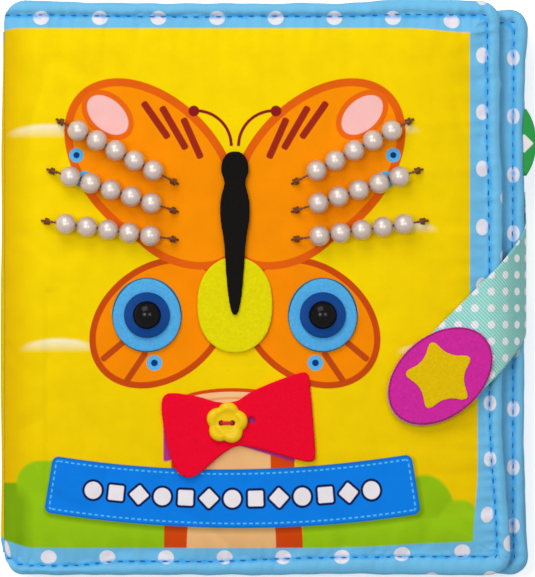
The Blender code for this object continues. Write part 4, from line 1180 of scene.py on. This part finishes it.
# %% [markdown]
# The beads are plastic pearls 8 mm across. Under the clear lacquer is a coat of fine mica flakes, so the base is
# pale and a little pink, and the coat gives a soft round highlight. Each bead is turned with its bore and laid on
# its side. The beads of one row slide together along their cord.

# %% Pearls
PEARL_RADIUS, BORE_RADIUS = 4.0 * MM, 0.9 * MM
PEARL_LACQUER, pearl_shader = new_finish("pearl_lacquer", "#D2C0B6", 0.38, Specular_IOR_Level=0.6, Coat_Weight=0.9,
                                         Coat_Roughness=0.22, Sheen_Weight=0.14, Sheen_Roughness=0.35,
                                         Sheen_Tint=linear("#FFD8C0"), Subsurface_Weight=0.05, Metallic=0.3,
                                         Subsurface_Scale=0.8 * MM)
pearl_place = coordinates(PEARL_LACQUER)
join(PEARL_LACQUER, uneven(PEARL_LACQUER, linear("#D2C0B6"), pearl_place, 4 * MM, 0.05), pearl_shader, "Base Color")
flakes = add_node(PEARL_LACQUER, "TexNoise", {"Vector": pearl_place, "Scale": 1 / (0.3 * MM), "Detail": 4.0})
bump = add_node(PEARL_LACQUER, "Bump", {"Strength": 0.06, "Distance": 0.03 * MM, "Height": flakes.outputs["Fac"]})
join(PEARL_LACQUER, bump.outputs["Normal"], pearl_shader, "Normal")

mouth = math.degrees(math.asin(BORE_RADIUS / PEARL_RADIUS))
pearl_profile = arc((0, 0), PEARL_RADIUS, 90 - mouth, mouth - 90, 22)
pearl_profile = [(BORE_RADIUS * 0.94, pearl_profile[0][1] - 0.25 * MM)] + pearl_profile
pearl_profile.append((BORE_RADIUS * 0.94, -pearl_profile[0][1]))
pearl_pattern = mesh_of("pearl", turned_mesh(pearl_profile, 40, closed=True))

ROW_CLIMB = (28, 18, 8)
for word, side in (("left", -1), ("right", 1)):
    for row, climb in enumerate(ROW_CLIMB, 1):
        for bead in range(1, 6):
            node = "pearl_{}_{}_{}".format(word, row, bead)
            turn = math.radians(climb) if side > 0 else math.pi - math.radians(climb)
            matrix = Matrix.Translation(box_middle(node)) @ Matrix.Rotation(turn, 4, "Z")
            bm = bmesh.new()
            bm.from_mesh(pearl_pattern)
            bm.transform(matrix @ Matrix.Rotation(math.pi / 2, 4, "Y"))
            piece = add_piece(node + "_bead", bm, PEARL_LACQUER)
            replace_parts(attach(piece, "bead_row_{}_{}".format(word, row)), node)
print("pearls: 30, faces each", len(pearl_pattern.polygons))

# %% [markdown]
# Each row hangs on a cord of three twisted plies. It comes up through the cover at a knot, rises to the bores, runs
# through five beads with a little slack, and goes down again at the outer knot.

# %% Bead cords and knots
CORD_RADIUS = 0.5 * MM
PLY_RADIUS = 0.27 * MM
PLY_PITCH = 3.0 * MM
KNOT_CENTRE = 1.9 * MM
FRONT_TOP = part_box("left_oval_felt")[0].z - 0.3 * MM
CORD_LEVEL = box_middle("pearl_left_1_1").z
KNOT_LEVEL = FRONT_TOP + 1.2 * MM
CORD_RUN = 52.8 * MM
COTTON_CORD = thread("waxed_brown_cord", "#6E3400")
COTTON_CORD.node_tree.nodes["Principled BSDF"].inputs["Coat Weight"].default_value = 0.25


def along_spline(points, steps):
    """Points of a smooth curve through the given ones."""
    padded = [points[0] * 2 - points[1]] + points + [points[-1] * 2 - points[-2]]
    line = []
    for a, b, c, d in zip(padded, padded[1:], padded[2:], padded[3:]):
        for step in range(steps):
            t = step / steps
            line.append(0.5 * ((2 * b) + (c - a) * t + (2 * a - 5 * b + 4 * c - d) * t * t
                               + (3 * b - a - 3 * c + d) * t ** 3))
    return line + [points[-1]]


def measured(line):
    """The length of a line of points."""
    return sum((b - a).length for a, b in zip(line, line[1:]))


def round_rod(name, lines, radius, sides=2):
    """Round rods along lines of points, as one mesh with closed ends."""
    curve = bpy.data.curves.new(name, "CURVE")
    curve.dimensions = "3D"
    curve.bevel_depth = radius
    curve.bevel_resolution = sides
    curve.use_fill_caps = True
    for line in lines:
        spline = curve.splines.new("POLY")
        spline.points.add(len(line) - 1)
        for point, spot in zip(spline.points, line):
            point.co = (*spot, 1)
    mesh = made_mesh(bpy.data.objects.new(name, curve))
    bm = bmesh.new()
    bm.from_mesh(mesh)
    bmesh.ops.remove_doubles(bm, verts=bm.verts, dist=MM / 2000)
    bmesh.ops.recalc_face_normals(bm, faces=bm.faces)
    return bm


def winding(line, radius, pitch, phase):
    """A line wound round another that lies in an upright plane."""
    flat = Vector((line[-1].x - line[0].x, line[-1].y - line[0].y, 0)).normalized()
    aside = Vector((-flat.y, flat.x, 0))
    walked, wound = 0.0, []
    for index, spot in enumerate(line):
        ahead = (line[min(index + 1, len(line) - 1)] - line[max(index - 1, 0)]).normalized()
        walked += (spot - line[index - 1]).length if index else 0
        angle = 2 * math.pi * walked / pitch + phase
        wound.append(spot + radius * (aside * math.cos(angle) + ahead.cross(aside) * math.sin(angle)))
    return wound


CORD_STATIONS = [(0.0, FRONT_TOP - 0.3 * MM), (0.1 * MM, FRONT_TOP + 0.5 * MM), (1.0 * MM, KNOT_LEVEL),
                 (2.2 * MM, KNOT_LEVEL + 0.1 * MM), (3.1 * MM, KNOT_LEVEL + 1.4 * MM),
                 (4.1 * MM, CORD_LEVEL - 0.25 * MM), (5.2 * MM, CORD_LEVEL)]
MOTIF_WIDTH = 134.8
ROW_ACROSS, ROW_UP = 0.163, (0.189, 0.109, 0.029)
for word, side in (("left", -1), ("right", 1)):
    for row, climb in enumerate(ROW_CLIMB, 1):
        start = Vector((MOTIF[0] + side * ROW_ACROSS * MOTIF_WIDTH, MOTIF[1] + ROW_UP[row - 1] * MOTIF_WIDTH, 0)) * MM
        way = Vector((side * math.cos(math.radians(climb)), math.sin(math.radians(climb)), 0))
        stations = CORD_STATIONS + [(CORD_RUN - along, level) for along, level in reversed(CORD_STATIONS)]
        path = along_spline([start + way * along + Vector((0, 0, level)) for along, level in stations], 14)
        plies = [winding(path, CORD_RADIUS - PLY_RADIUS, PLY_PITCH, 2 * math.pi * ply / 3) for ply in range(3)]
        name = "bead_cord_{}_{}".format(word, row)
        cord = add_piece(name, round_rod(name, plies, PLY_RADIUS), COTTON_CORD)
        coils = []
        for end in (KNOT_CENTRE, CORD_RUN - KNOT_CENTRE):
            middle = start + way * end + Vector((0, 0, KNOT_LEVEL))
            aside = Vector((-way.y, way.x, 0))
            coil = []
            for step in range(60):
                angle = 2 * math.pi * 2.3 * step / 59
                swell = 0.86 * MM * (1 + 0.12 * math.sin(angle * 0.5 + row))
                coil.append(middle + way * (step / 59 - 0.5) * 1.7 * MM
                            + swell * (aside * math.cos(angle) + Vector((0, 0, 1)) * math.sin(angle)))
            coils.append(coil)
        knots = add_piece(name + "_knots", round_rod(name, coils, 0.5 * MM), COTTON_CORD)
        for piece in (cord, knots):
            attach(piece, "front_cover")
        print(name, "length in mm:", round(measured(path) / MM, 1))

# %% [markdown]
# The bow is one piece of red felt that turns a little on its button. A slit for the button runs from the middle
# towards the right, and the button's shank of wound thread passes through it.

# %% Bow
BUTTON_AXIS = Vector((-14.30, -50.39)) * MM
BOW_OUTLINE = ((-21.6, 11.7), (-17.9, 11.4), (-10.5, 10.2), (-3.5, 7.7), (4.0, 8.1), (7.7, 11.2), (14.3, 14.4),
               (28.3, 19.7), (31.2, 19.4), (32.0, 16.3), (34.4, -12.2), (33.8, -14.7), (31.2, -15.1), (25.5, -13.8),
               (11.5, -9.6), (4.0, -8.4), (-1.6, -11.7), (-9.1, -18.5), (-13.2, -21.2), (-17.2, -20.8),
               (-20.5, -17.3), (-22.7, -9.6), (-24.1, -3.4), (-25.3, 4.6), (-25.2, 8.6), (-24.0, 10.9))
SLIT_END, SLIT_END_RADIUS = (9.6, 1.0), 1.4
HOLE = 1.3


def turned_outline(points, turn, offset):
    """Points turned about the origin and then moved."""
    turn_by = Matrix.Rotation(turn, 2)
    return [tuple(turn_by @ Vector(spot) + offset) for spot in points]


bow_outline = [(x * MM, y * MM) for x, y in cut_corners(list(BOW_OUTLINE), 2)]
buttonhole = arc((0, 0), HOLE, 30, 330, 20)
buttonhole += arc(SLIT_END, SLIT_END_RADIUS, -155, 155, 16)
buttonhole = [(x * MM, y * MM) for x, y in buttonhole]
bow = cut_felt("red_felt_bow", [bow_outline, buttonhole], BUTTON_AXIS, 0, RED_FELT, "bow", "felt_bow")

# %% [markdown]
# The button is a glossy yellow flower with five bulging petals, a dished middle and two holes. It is turned as a
# plain round button first. Then its rim is drawn in between the petals, and the holes are cut with a boolean, which
# keeps them round. Red thread crosses between the holes and winds into the shank below.

# %% Flower button
BUTTON_RADIUS, BUTTON_RISE = 8.1 * MM, 2.6 * MM
BUTTON_TURN = math.radians(7)
HOLE_RADIUS, HOLE_OFFSET = 1.05 * MM, 2.1 * MM
PETALS = 5
BUTTON_PLASTIC, button_shader, button_place = mottled_finish(
    "yellow_button_plastic", "#F4CC00", 0.3, 2.5 * MM, 0.05, Specular_IOR_Level=0.1, Coat_Weight=0.12,
    Coat_Roughness=0.12, Subsurface_Weight=0.05, Subsurface_Scale=1 * MM)
moulding = add_node(BUTTON_PLASTIC, "TexNoise", {"Vector": button_place, "Scale": 1 / (1.2 * MM), "Detail": 2.0})
bump = add_node(BUTTON_PLASTIC, "Bump", {"Strength": 0.10, "Distance": 0.1 * MM, "Height": moulding.outputs["Fac"]})
join(BUTTON_PLASTIC, bump.outputs["Normal"], button_shader, "Normal")

BUTTON_PROFILE = ((0, 0), (0.30, 0), (0.60, 0), (0.88, 0.03), (0.96, 0.16), (1.0, 0.42), (0.985, 0.62), (0.94, 0.80),
                  (0.86, 0.94), (0.77, 1.0), (0.68, 0.97), (0.60, 0.86), (0.54, 0.74), (0.47, 0.67), (0.36, 0.64),
                  (0.20, 0.63), (0, 0.63))
bm = turned_mesh([(r * BUTTON_RADIUS, z * BUTTON_RISE) for r, z in BUTTON_PROFILE], 120)
for vertex in bm.verts:
    reach = math.hypot(vertex.co.x, vertex.co.y) / BUTTON_RADIUS
    angle = math.atan2(vertex.co.x, vertex.co.y) - BUTTON_TURN
    notch = 1 - abs(math.cos(PETALS * angle / 2))
    share = min(1.0, max(0.0, (reach - 0.42) / 0.5))
    share = share * share * (3 - 2 * share)
    draw = 1 - share * 0.17 * notch
    sink = 1 - 0.36 * notch * share * (vertex.co.z > 0.3 * BUTTON_RISE)
    vertex.co = (vertex.co.x * draw, vertex.co.y * draw, vertex.co.z * sink)
button_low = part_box("felt_bow")[1].z + 0.3 * MM
bmesh.ops.translate(bm, verts=bm.verts, vec=(*BUTTON_AXIS, button_low))
button_mesh = mesh_of("flower", bm)
drills = bmesh.new()
for side in (-1, 1):
    spot = Matrix.Translation((BUTTON_AXIS.x + side * HOLE_OFFSET, BUTTON_AXIS.y, button_low))
    bmesh.ops.create_cone(drills, cap_ends=True, segments=24, radius1=HOLE_RADIUS, radius2=HOLE_RADIUS,
                          depth=4 * BUTTON_RISE, matrix=spot)
drill = add_piece("button_drill", drills, BUTTON_PLASTIC)
blank = bpy.data.objects.new("flower", button_mesh)
cut = blank.modifiers.new("holes", "BOOLEAN")
cut.operation, cut.solver, cut.object = "DIFFERENCE", "EXACT", drill
bm = bmesh.new()
bm.from_mesh(made_mesh(blank))
bpy.data.objects.remove(drill)
button = add_piece("flower_button_moulding", bm, BUTTON_PLASTIC)
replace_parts(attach(button, "front_cover"), "flower_button")

RED_THREAD = thread("red_sewing_thread", "#D81820")
strands = []
for lane in (-1.5, -0.5, 0.5, 1.5):
    spots = []
    for step in range(17):
        share = step / 16 * 2 - 1
        level = button_low + BUTTON_RISE * 0.63 + 0.28 * MM - 2.6 * MM * max(0.0, abs(share) - 0.72)
        spots.append(Vector((BUTTON_AXIS.x + share * HOLE_OFFSET * 1.12, BUTTON_AXIS.y + lane * 0.34 * MM
                             * (1 - 0.3 * abs(share)), level + 0.1 * MM * (abs(lane) < 1))))
    strands.append(spots)
shank = []
for step in range(121):
    angle = 2 * math.pi * 7 * step / 120
    shank.append(Vector((BUTTON_AXIS.x + 0.72 * MM * math.cos(angle), BUTTON_AXIS.y + 0.72 * MM * math.sin(angle),
                         FRONT_TOP - 0.2 * MM + (button_low - FRONT_TOP + 0.4 * MM) * step / 120)))
thread_piece = add_piece("button_thread", round_rod("button_thread", strands + [shank], 0.24 * MM), RED_THREAD)
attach(thread_piece, "front_cover")
print("button top in mm:", round((button_low + BUTTON_RISE) / MM, 2))

# %% [markdown]
# The strap is grosgrain, a ribbon with ribs across its width. It starts under the felt end, lies over the cover, and
# turns down at the fore edge to the back cover's seam. It is laid out flat first: one number is the
# run over the edge and the other is the distance along the edge. The same two numbers are its UV map in metres, so
# the dots stay square to the book and the ribs stay square to the ribbon wherever it bends.

# %% Ribbon strap
STRAP_FROM = box_middle("strap_patch_felt")
STRAP_HALF = 20.8 * MM
RIBBON = 0.5 * MM
RIBBON_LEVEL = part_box("strap_top_ribbon")[1].z - RIBBON / 2
SIDE_X = box_middle("strap_side_ribbon").x
FLAP_HINGE_Z = 20.9 * MM
RIB_PITCH = 1.08 * MM
RIBBON_DOT_PITCH, RIBBON_DOT_RADIUS = 6.4, 1.5


def ribbon_print(material, place):
    """Small pale dots on a square grid, with painted shade where the ribbon turns down the edge."""
    flat = in_millimetres(material, place)
    dots = dot_mask(material, flat, (19.7, -12.6), (RIBBON_DOT_PITCH, RIBBON_DOT_PITCH), RIBBON_DOT_RADIUS)
    # Painted shade: the ground goes darker teal along the run where the ribbon turns down.
    turned = ramp(material, add_node(material, "SeparateXYZ", {0: flat}).outputs[0], 22, 34, 0.5)
    ground = ink(material, linear("#A0E2D8"), turned, "#5CA6A6")
    return ink(material, ground, dots, "#F6F4F8")


def grosgrain():
    """Woven polyester ribbon: ribs in relief, with a slight shine along them and painted light and shade across them.
    """
    material, shader = new_finish("grosgrain_ribbon", "#A0E2D8", 0.62, Sheen_Weight=0.1, Sheen_Roughness=0.4,
                                  Specular_IOR_Level=0.3)
    place = coordinates(material, True)
    square = add_node(material, "Mapping", {"Vector": place, "Rotation": (0, 0, math.radians(45))},
                      vector_type="TEXTURE")
    ribs = add_node(material, "TexWave", {"Vector": square.outputs[0], "Scale": WAVE_PERIOD / RIB_PITCH},
                    bands_direction="X")
    printed = uneven(material, ribbon_print(material, place), place, 6 * MM, 0.04)
    # Painted light and shade of the ribs: the colour goes lighter and darker with each rib, and fades out where the
    # ribbon turns down.
    level = add_node(material, "MapRange", {"Value": ribs.outputs["Fac"], "To Min": 0.78, "To Max": 1.14})
    run = add_node(material, "SeparateXYZ", {0: in_millimetres(material, place)}).outputs[0]
    clear = add_node(material, "Math", {0: 1.0, 1: ramp(material, run, 20, 34, 0.8)}, operation="SUBTRACT")
    painted_rib_shade = add_node(material, "Mix", {0: clear.outputs[0], 6: printed, 7: level.outputs[0]}, data_type="RGBA",
                      blend_type="MULTIPLY")
    join(material, painted_rib_shade.outputs[2], shader, "Base Color")
    bump = add_node(material, "Bump", {"Strength": 0.8, "Distance": 0.14 * MM, "Height": ribs.outputs["Fac"]})
    join(material, bump.outputs["Normal"], shader, "Normal")
    return material


GROSGRAIN = grosgrain()
STRAP_ROUTE = [Vector((x, 0, z)) * MM for x, z in (
    (52.0, RIBBON_LEVEL / MM), (60.0, RIBBON_LEVEL / MM), (68.0, RIBBON_LEVEL / MM), (76.0, RIBBON_LEVEL / MM),
    (83.6, 31.0), (88.0, 30.2), (92.6, 27.3), (96.3, 23.7), (98.9, 21.0), (100.5, 18.5), (SIDE_X / MM, 16.0),
    (SIDE_X / MM, 13.0), (SIDE_X / MM, 9.0), (SIDE_X / MM, 3.5))]
strap_line = along_spline(STRAP_ROUTE, 24)
strap_runs = [STRAP_ROUTE[0].x - STRAP_FROM.x]
for a, b in zip(strap_line, strap_line[1:]):
    strap_runs.append(strap_runs[-1] + (b - a).length)


def strap_middle(run):
    """The ribbon's middle along the fore edge; it sags towards the foot where it turns down."""
    return STRAP_FROM.y + run - 1.0 * MM - 1.5 * MM * smooth(run, 16 * MM, 36 * MM)


def strap_spot(run, y):
    """A place on the strap from its flat layout."""
    index = 1
    while index < len(strap_runs) - 1 and strap_runs[index] < run:
        index += 1
    share = (run - strap_runs[index - 1]) / (strap_runs[index] - strap_runs[index - 1])
    spot = strap_line[index - 1].lerp(strap_line[index], share)
    return Vector((spot.x, y, spot.z))


def run_at(height):
    """The run at which the strap has come down to a height."""
    for spot, run in zip(strap_line, strap_runs):
        if spot.z <= height:
            return run
    return strap_runs[-1]


def ribbon_piece(name, start, end, steps, slant):
    """A length of the ribbon between two runs; slant turns its start square to the ribbon."""
    bm = bmesh.new()
    bmesh.ops.create_grid(bm, x_segments=steps, y_segments=36, size=1)
    layout = bm.loops.layers.uv.new("ribbon")
    flat = {}
    for vertex in bm.verts:
        share, across = (vertex.co.x + 1) / 2, vertex.co.y
        first = start - slant * across * STRAP_HALF / 2
        run = first + (end - first) * share
        y = strap_middle(run) + across * STRAP_HALF
        flat[vertex] = (run, y)
        vertex.co = strap_spot(run, y)
    unfold(bm, layout, flat)
    bm.normal_update()
    if sum(face.normal.z + face.normal.x for face in bm.faces) < 0:
        bmesh.ops.reverse_faces(bm, faces=bm.faces)
    piece = add_piece(name, bm, GROSGRAIN)
    thicken(piece, "ribbon thickness", RIBBON, 0)
    return piece


turn_run, foot_run = run_at(FLAP_HINGE_Z), strap_runs[-1]
top_ribbon = ribbon_piece("strap_ribbon_over_cover", 1.0 * MM, turn_run, 90, 1)
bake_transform(top_ribbon)
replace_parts(top_ribbon, "strap_top_ribbon")
side_ribbon = ribbon_piece("strap_ribbon_down_edge", turn_run, foot_run, 36, 0)
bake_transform(side_ribbon)
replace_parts(side_ribbon, "strap_side_ribbon")
ribbon_width = STRAP_HALF * math.sqrt(2)
for piece, length, hold, on in ((top_ribbon, (turn_run - 1.0 * MM) * math.sqrt(2), "laid", "front_cover_face"),
                                (side_ribbon, (foot_run - turn_run) * math.sqrt(2), "stretched", "back_cover_face")):
    area = sum(face.area for face in piece.data.polygons)
    length = max(length, area / ribbon_width)
    print(piece.name, "width and length in mm:", round(ribbon_width / MM, 1), round(length / MM, 1))

# %% [markdown]
# The strap ends in an oval of magenta felt on a pale backing, sewn round by machine in dark red. A yellow felt star
# is laid on it. Under the end is the hook tape, and on the cover its loop tape: one has rows of small hooks, the
# other a pile of loops. Both show when the strap is lifted.

# %% Felt end of the strap
PATCH_SIZE, PATCH_TILT = (45.4 * MM, 31.6 * MM), math.radians(39.4)
STAR_POINTS, STAR_REACH, STAR_WAIST = 5, 15.6 * MM, 8.2 * MM
patch_middle = box_middle("strap_patch_felt")
patch = cut_felt("strap_end_felt", [ellipse(*PATCH_SIZE)], patch_middle, PATCH_TILT, MAGENTA_FELT, "strap_flap",
                 "strap_patch_felt")
backing = cut_felt("strap_end_backing", [ellipse(*PATCH_SIZE)], patch_middle + Vector((-0.4, -0.5, 0)) * MM,
                   PATCH_TILT, PALE_FELT, "strap_flap", bottom=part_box("strap_patch_backing")[1].z - 0.1 * MM,
                   thickness=0.5 * MM,
                   grain=0.4 * MM)
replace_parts(backing, "strap_patch_backing")
star = []
for step in range(2 * STAR_POINTS):
    reach = STAR_REACH if step % 2 == 0 else STAR_WAIST
    angle = math.pi / 2 + math.pi * step / STAR_POINTS
    star.append((reach * math.cos(angle), reach * math.sin(angle)))
patch_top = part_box("strap_patch_felt")[1].z
STAR_FELT = felt("deep_yellow_felt", "#E8C200", "#FFE464", 0.10)
star_piece = cut_felt("strap_end_star", [cut_corners(star, 3)], patch_middle, math.radians(14), STAR_FELT,
                      "strap_flap", bottom=patch_top - 0.25 * MM, thickness=0.7 * MM)


def sew_round(name, points, centre, turn, level, pitch, size, material, body):
    """Small stitches round a closed outline."""
    bm = bmesh.new()
    spots = turned_outline(points, turn, Vector((centre.x, centre.y)))
    spots = [Vector((x, y, level)) for x, y in spots]
    walked, wanted = 0.0, 0.0
    for a, b in zip(spots, spots[1:] + spots[:1]):
        length = (b - a).length
        while wanted < walked + length:
            spot = a.lerp(b, (wanted - walked) / length)
            add_stitch(bm, spot, math.atan2(b.y - a.y, b.x - a.x), *size)
            wanted += pitch
        walked += length
    piece = add_piece(name, bm, material)
    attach(piece, body)
    print(name, "stitches", round(wanted / pitch))
    return piece


DARK_RED_THREAD = thread("dark_red_thread", "#7A0C34")
YELLOW_THREAD = thread("yellow_sewing_thread", "#D8C400")
inset = 2 * 0.6 * MM
patch_stitching = sew_round("strap_end_stitching", ellipse(PATCH_SIZE[0] - inset, PATCH_SIZE[1] - inset),
                            patch_middle, PATCH_TILT, patch_top + 0.02 * MM, 1.35 * MM,
                            (1.3 * MM, 0.4 * MM, 0.34 * MM), DARK_RED_THREAD, "strap_flap")

# %% Hook and loop tapes
HOOK_TAPE, hook_shader, hook_place = mottled_finish("nylon_hook_tape", "#E4E4E0", 0.55, 1.5 * MM, 0.12)
join(HOOK_TAPE, weave_bump(HOOK_TAPE, hook_place, 0.8 * MM, 0.06 * MM, 0.5), hook_shader, "Normal")
LOOP_TAPE = felt("nylon_loop_tape", "#E8E8E4", "#FFFFFF", 0.12)
TAPE_SIZE = (22.0 * MM, 13.0 * MM)
tape_outline = [(x * TAPE_SIZE[0] / 2, y * TAPE_SIZE[1] / 2) for x, y in ((-1, -1), (1, -1), (1, 1), (-1, 1))]
loop_tape = cut_felt("strap_loop_pile", [tape_outline], box_middle("strap_loop_tape"), PATCH_TILT, LOOP_TAPE,
                     "front_cover", "strap_loop_tape")
bm = bmesh.new()
bmesh.ops.create_cube(bm, size=1, matrix=Matrix.Translation((0, 0, 0.38 * MM))
                      @ Matrix.Diagonal((TAPE_SIZE[0], TAPE_SIZE[1], 0.42 * MM, 1)))
bmesh.ops.bevel(bm, geom=bm.edges[:], offset=0.1 * MM, segments=2, profile=0.5, affect="EDGES", material=-1)
hook_line = [Vector(spot) * MM for spot in ((0, 0, 0.2), (0, 0, -0.02), (0.22, 0, -0.16), (0.42, 0, -0.04))]
hook_mesh = mesh_of("hook", round_rod("hook", [hook_line], 0.1 * MM, 0))
count = 0
for across in range(15):
    for down in range(9):
        spot = Matrix.Translation(((across - 7) * 1.42 * MM, (down - 4) * 1.38 * MM, 0))
        repeat(bm, hook_mesh, spot @ Matrix.Rotation(math.pi * (down % 2), 4, "Z"))
        count += 1
tape_middle, tape_bottom = box_middle("strap_hook_tape"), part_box("strap_hook_tape")[0].z
bm.transform(Matrix.Translation((tape_middle.x, tape_middle.y, tape_bottom)) @ Matrix.Rotation(PATCH_TILT, 4, "Z"))
hook_piece = add_piece("strap_hook_rows", bm, HOOK_TAPE, smooth=False)
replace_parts(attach(hook_piece, "strap_flap"), "strap_hook_tape")
print("hooks:", count, "faces each", len(hook_mesh.polygons))

# %% [markdown]
# A loop of green satin ribbon is sewn into the fore edge of the upper page. It is one short ribbon, folded in half
# with the fold outwards, and its two ends go into the seam.

# %% Satin tab
tab_low, tab_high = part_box("page_tab")
SATIN = 0.22 * MM
TAB_INSIDE = 4.5 * MM


def satin():
    """Satin ribbon: long floating threads that shine along the ribbon, with a pale diamond spot."""
    material, shader = new_finish("green_satin_ribbon", "#12943A", 0.5, Sheen_Weight=0.04,
                                  Sheen_Tint=linear("#7CE08C"), Specular_IOR_Level=0.25)
    place = coordinates(material)
    spot = box_mask(material, in_millimetres(material, place), (100.5, 57.4), (2.6, 2.6), 0.5, 45)
    printed = ink(material, linear("#12943A"), spot, "#EDE6E4")
    join(material, uneven(material, printed, place, 3 * MM, 0.08), shader, "Base Color")
    floats = add_node(material, "TexWave", {"Vector": place, "Scale": WAVE_PERIOD / (0.5 * MM)}, bands_direction="Y")
    bump = add_node(material, "Bump", {"Strength": 0.35, "Distance": 0.05 * MM, "Height": floats.outputs["Fac"]})
    join(material, bump.outputs["Normal"], shader, "Normal")
    return material


GREEN_SATIN = satin()
middle_z = (tab_low.z + tab_high.z) / 2
fold = (tab_high.z - tab_low.z) / 2 - SATIN / 2
tip = tab_high.x - fold - SATIN / 2
half_section = [(tab_low.x - TAB_INSIDE, SATIN), (tab_low.x, fold * 0.6), (tip - 1.2 * MM, fold)]
section = [(x, middle_z + rise) for x, rise in half_section]
section += [(tip + fold * math.sin(a), middle_z + fold * math.cos(a))
            for a in (0, 0.5, 1.05, 1.57, 2.09, 2.64, math.pi)]
section += [(x, middle_z - rise) for x, rise in reversed(half_section)]
bm = bmesh.new()
line = [bm.verts.new((x, tab_low.y, z)) for x, z in section]
edges = [bm.edges.new(pair) for pair in zip(line, line[1:])]
for _ in range(18):
    step = bmesh.ops.extrude_edge_only(bm, edges=edges)
    edges = [item for item in step["geom"] if isinstance(item, bmesh.types.BMEdge)]
    moved = [item for item in step["geom"] if isinstance(item, bmesh.types.BMVert)]
    bmesh.ops.translate(bm, verts=moved, vec=(0, (tab_high.y - tab_low.y) / 18, 0))
for vertex in bm.verts:
    share = (vertex.co.y - tab_low.y) / (tab_high.y - tab_low.y)
    reach = max(0.0, vertex.co.x - tab_low.x)
    vertex.co.x -= reach * 0.92 * abs(2 * share - 1) ** 2.4
    vertex.co.z += 0.12 * MM * noise.noise(Vector((vertex.co.x * 300, vertex.co.y * 120, 4)))
bmesh.ops.recalc_face_normals(bm, faces=bm.faces)
tab = add_piece("green_ribbon_tab", bm, GREEN_SATIN)
thicken(tab, "ribbon thickness", SATIN, 0)
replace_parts(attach(tab, "inner_leaf_1"), "page_tab")


# %% [markdown]
# The book lies on a plain pale floor. Two soft lamps stand left and right of the camera, as the twin highlights
# on the beads show, and the world fills the rest. The floor is white to the camera, and keeps
# the book's shadow. From below it is clear, so that the back cover can be seen.

# %% Floor and light
floor_finish, floor_shader = new_finish("pale_floor", "#F2F2F2", 0.9)
seen = add_node(floor_finish, "LightPath")
glow = add_node(floor_finish, "Emission", {"Color": (1, 1, 1, 1), "Strength": 0.52})
both = add_node(floor_finish, "AddShader", {0: floor_shader.outputs[0], 1: glow.outputs[0]})
mirrored_too = add_node(floor_finish, "Math", {0: seen.outputs["Is Glossy Ray"],
                                               1: seen.outputs["Is Transmission Ray"]}, operation="MAXIMUM")
plainly = add_node(floor_finish, "Math", {0: seen.outputs["Is Camera Ray"], 1: mirrored_too.outputs[0]},
                   operation="MAXIMUM")
for_camera = add_node(floor_finish, "MixShader", {0: plainly.outputs[0], 1: floor_shader.outputs[0],
                                                  2: both.outputs[0]})
below = add_node(floor_finish, "NewGeometry")
clear = add_node(floor_finish, "BsdfTransparent")
mixed = add_node(floor_finish, "MixShader", {0: below.outputs["Backfacing"], 1: for_camera.outputs[0],
                                             2: clear.outputs[0]})
output = floor_finish.node_tree.nodes["Material Output"]
floor_finish.node_tree.links.new(mixed.outputs[0], output.inputs["Surface"])
bm = bmesh.new()
bmesh.ops.create_grid(bm, x_segments=1, y_segments=1, size=6)
bmesh.ops.translate(bm, verts=bm.verts, vec=(0, 0, cad_low.z - 0.3 * MM))
floor = add_piece("floor", bm, floor_finish)

world = bpy.data.worlds.new("studio")
bpy.context.scene.world = world
world.use_nodes = True
background = world.node_tree.nodes["Background"]
background.inputs["Color"].default_value = (1, 1, 1, 1)
background.inputs["Strength"].default_value = 0.29
white = add_node(world, "Background", {"Strength": 1.0})
rays = add_node(world, "LightPath")
plain = add_node(world, "Math", {0: rays.outputs["Is Camera Ray"], 1: rays.outputs["Is Glossy Ray"]},
                 operation="MAXIMUM")
plain = add_node(world, "Math", {0: plain.outputs[0], 1: rays.outputs["Is Transmission Ray"]}, operation="MAXIMUM")
choice = add_node(world, "MixShader", {0: plain.outputs[0], 1: background.outputs[0], 2: white.outputs[0]})
join(world, choice.outputs[0], world.node_tree.nodes["World Output"], "Surface")


def lamp(name, place, size, power):
    """A soft square lamp that points at the middle of the cover."""
    data = bpy.data.lights.new(name, "AREA")
    data.size = size
    data.energy = power
    light = bpy.data.objects.new(name, data)
    light.location = place
    aim = Vector((view_centre.x, view_centre.y, COVER_TOP)) - Vector(place)
    light.rotation_mode = "QUATERNION"
    light.rotation_quaternion = aim.to_track_quat("-Z", "Y")
    collection.objects.link(light)
    return light


lamp("lamp_left", (-0.42, 0.10, 1.45), 0.42, 5.6)
lamp("lamp_right", (0.42, 0.10, 1.45), 0.42, 3.6)
lamp("lamp_head", (-0.35, 0.95, 1.00), 0.80, 8.0)
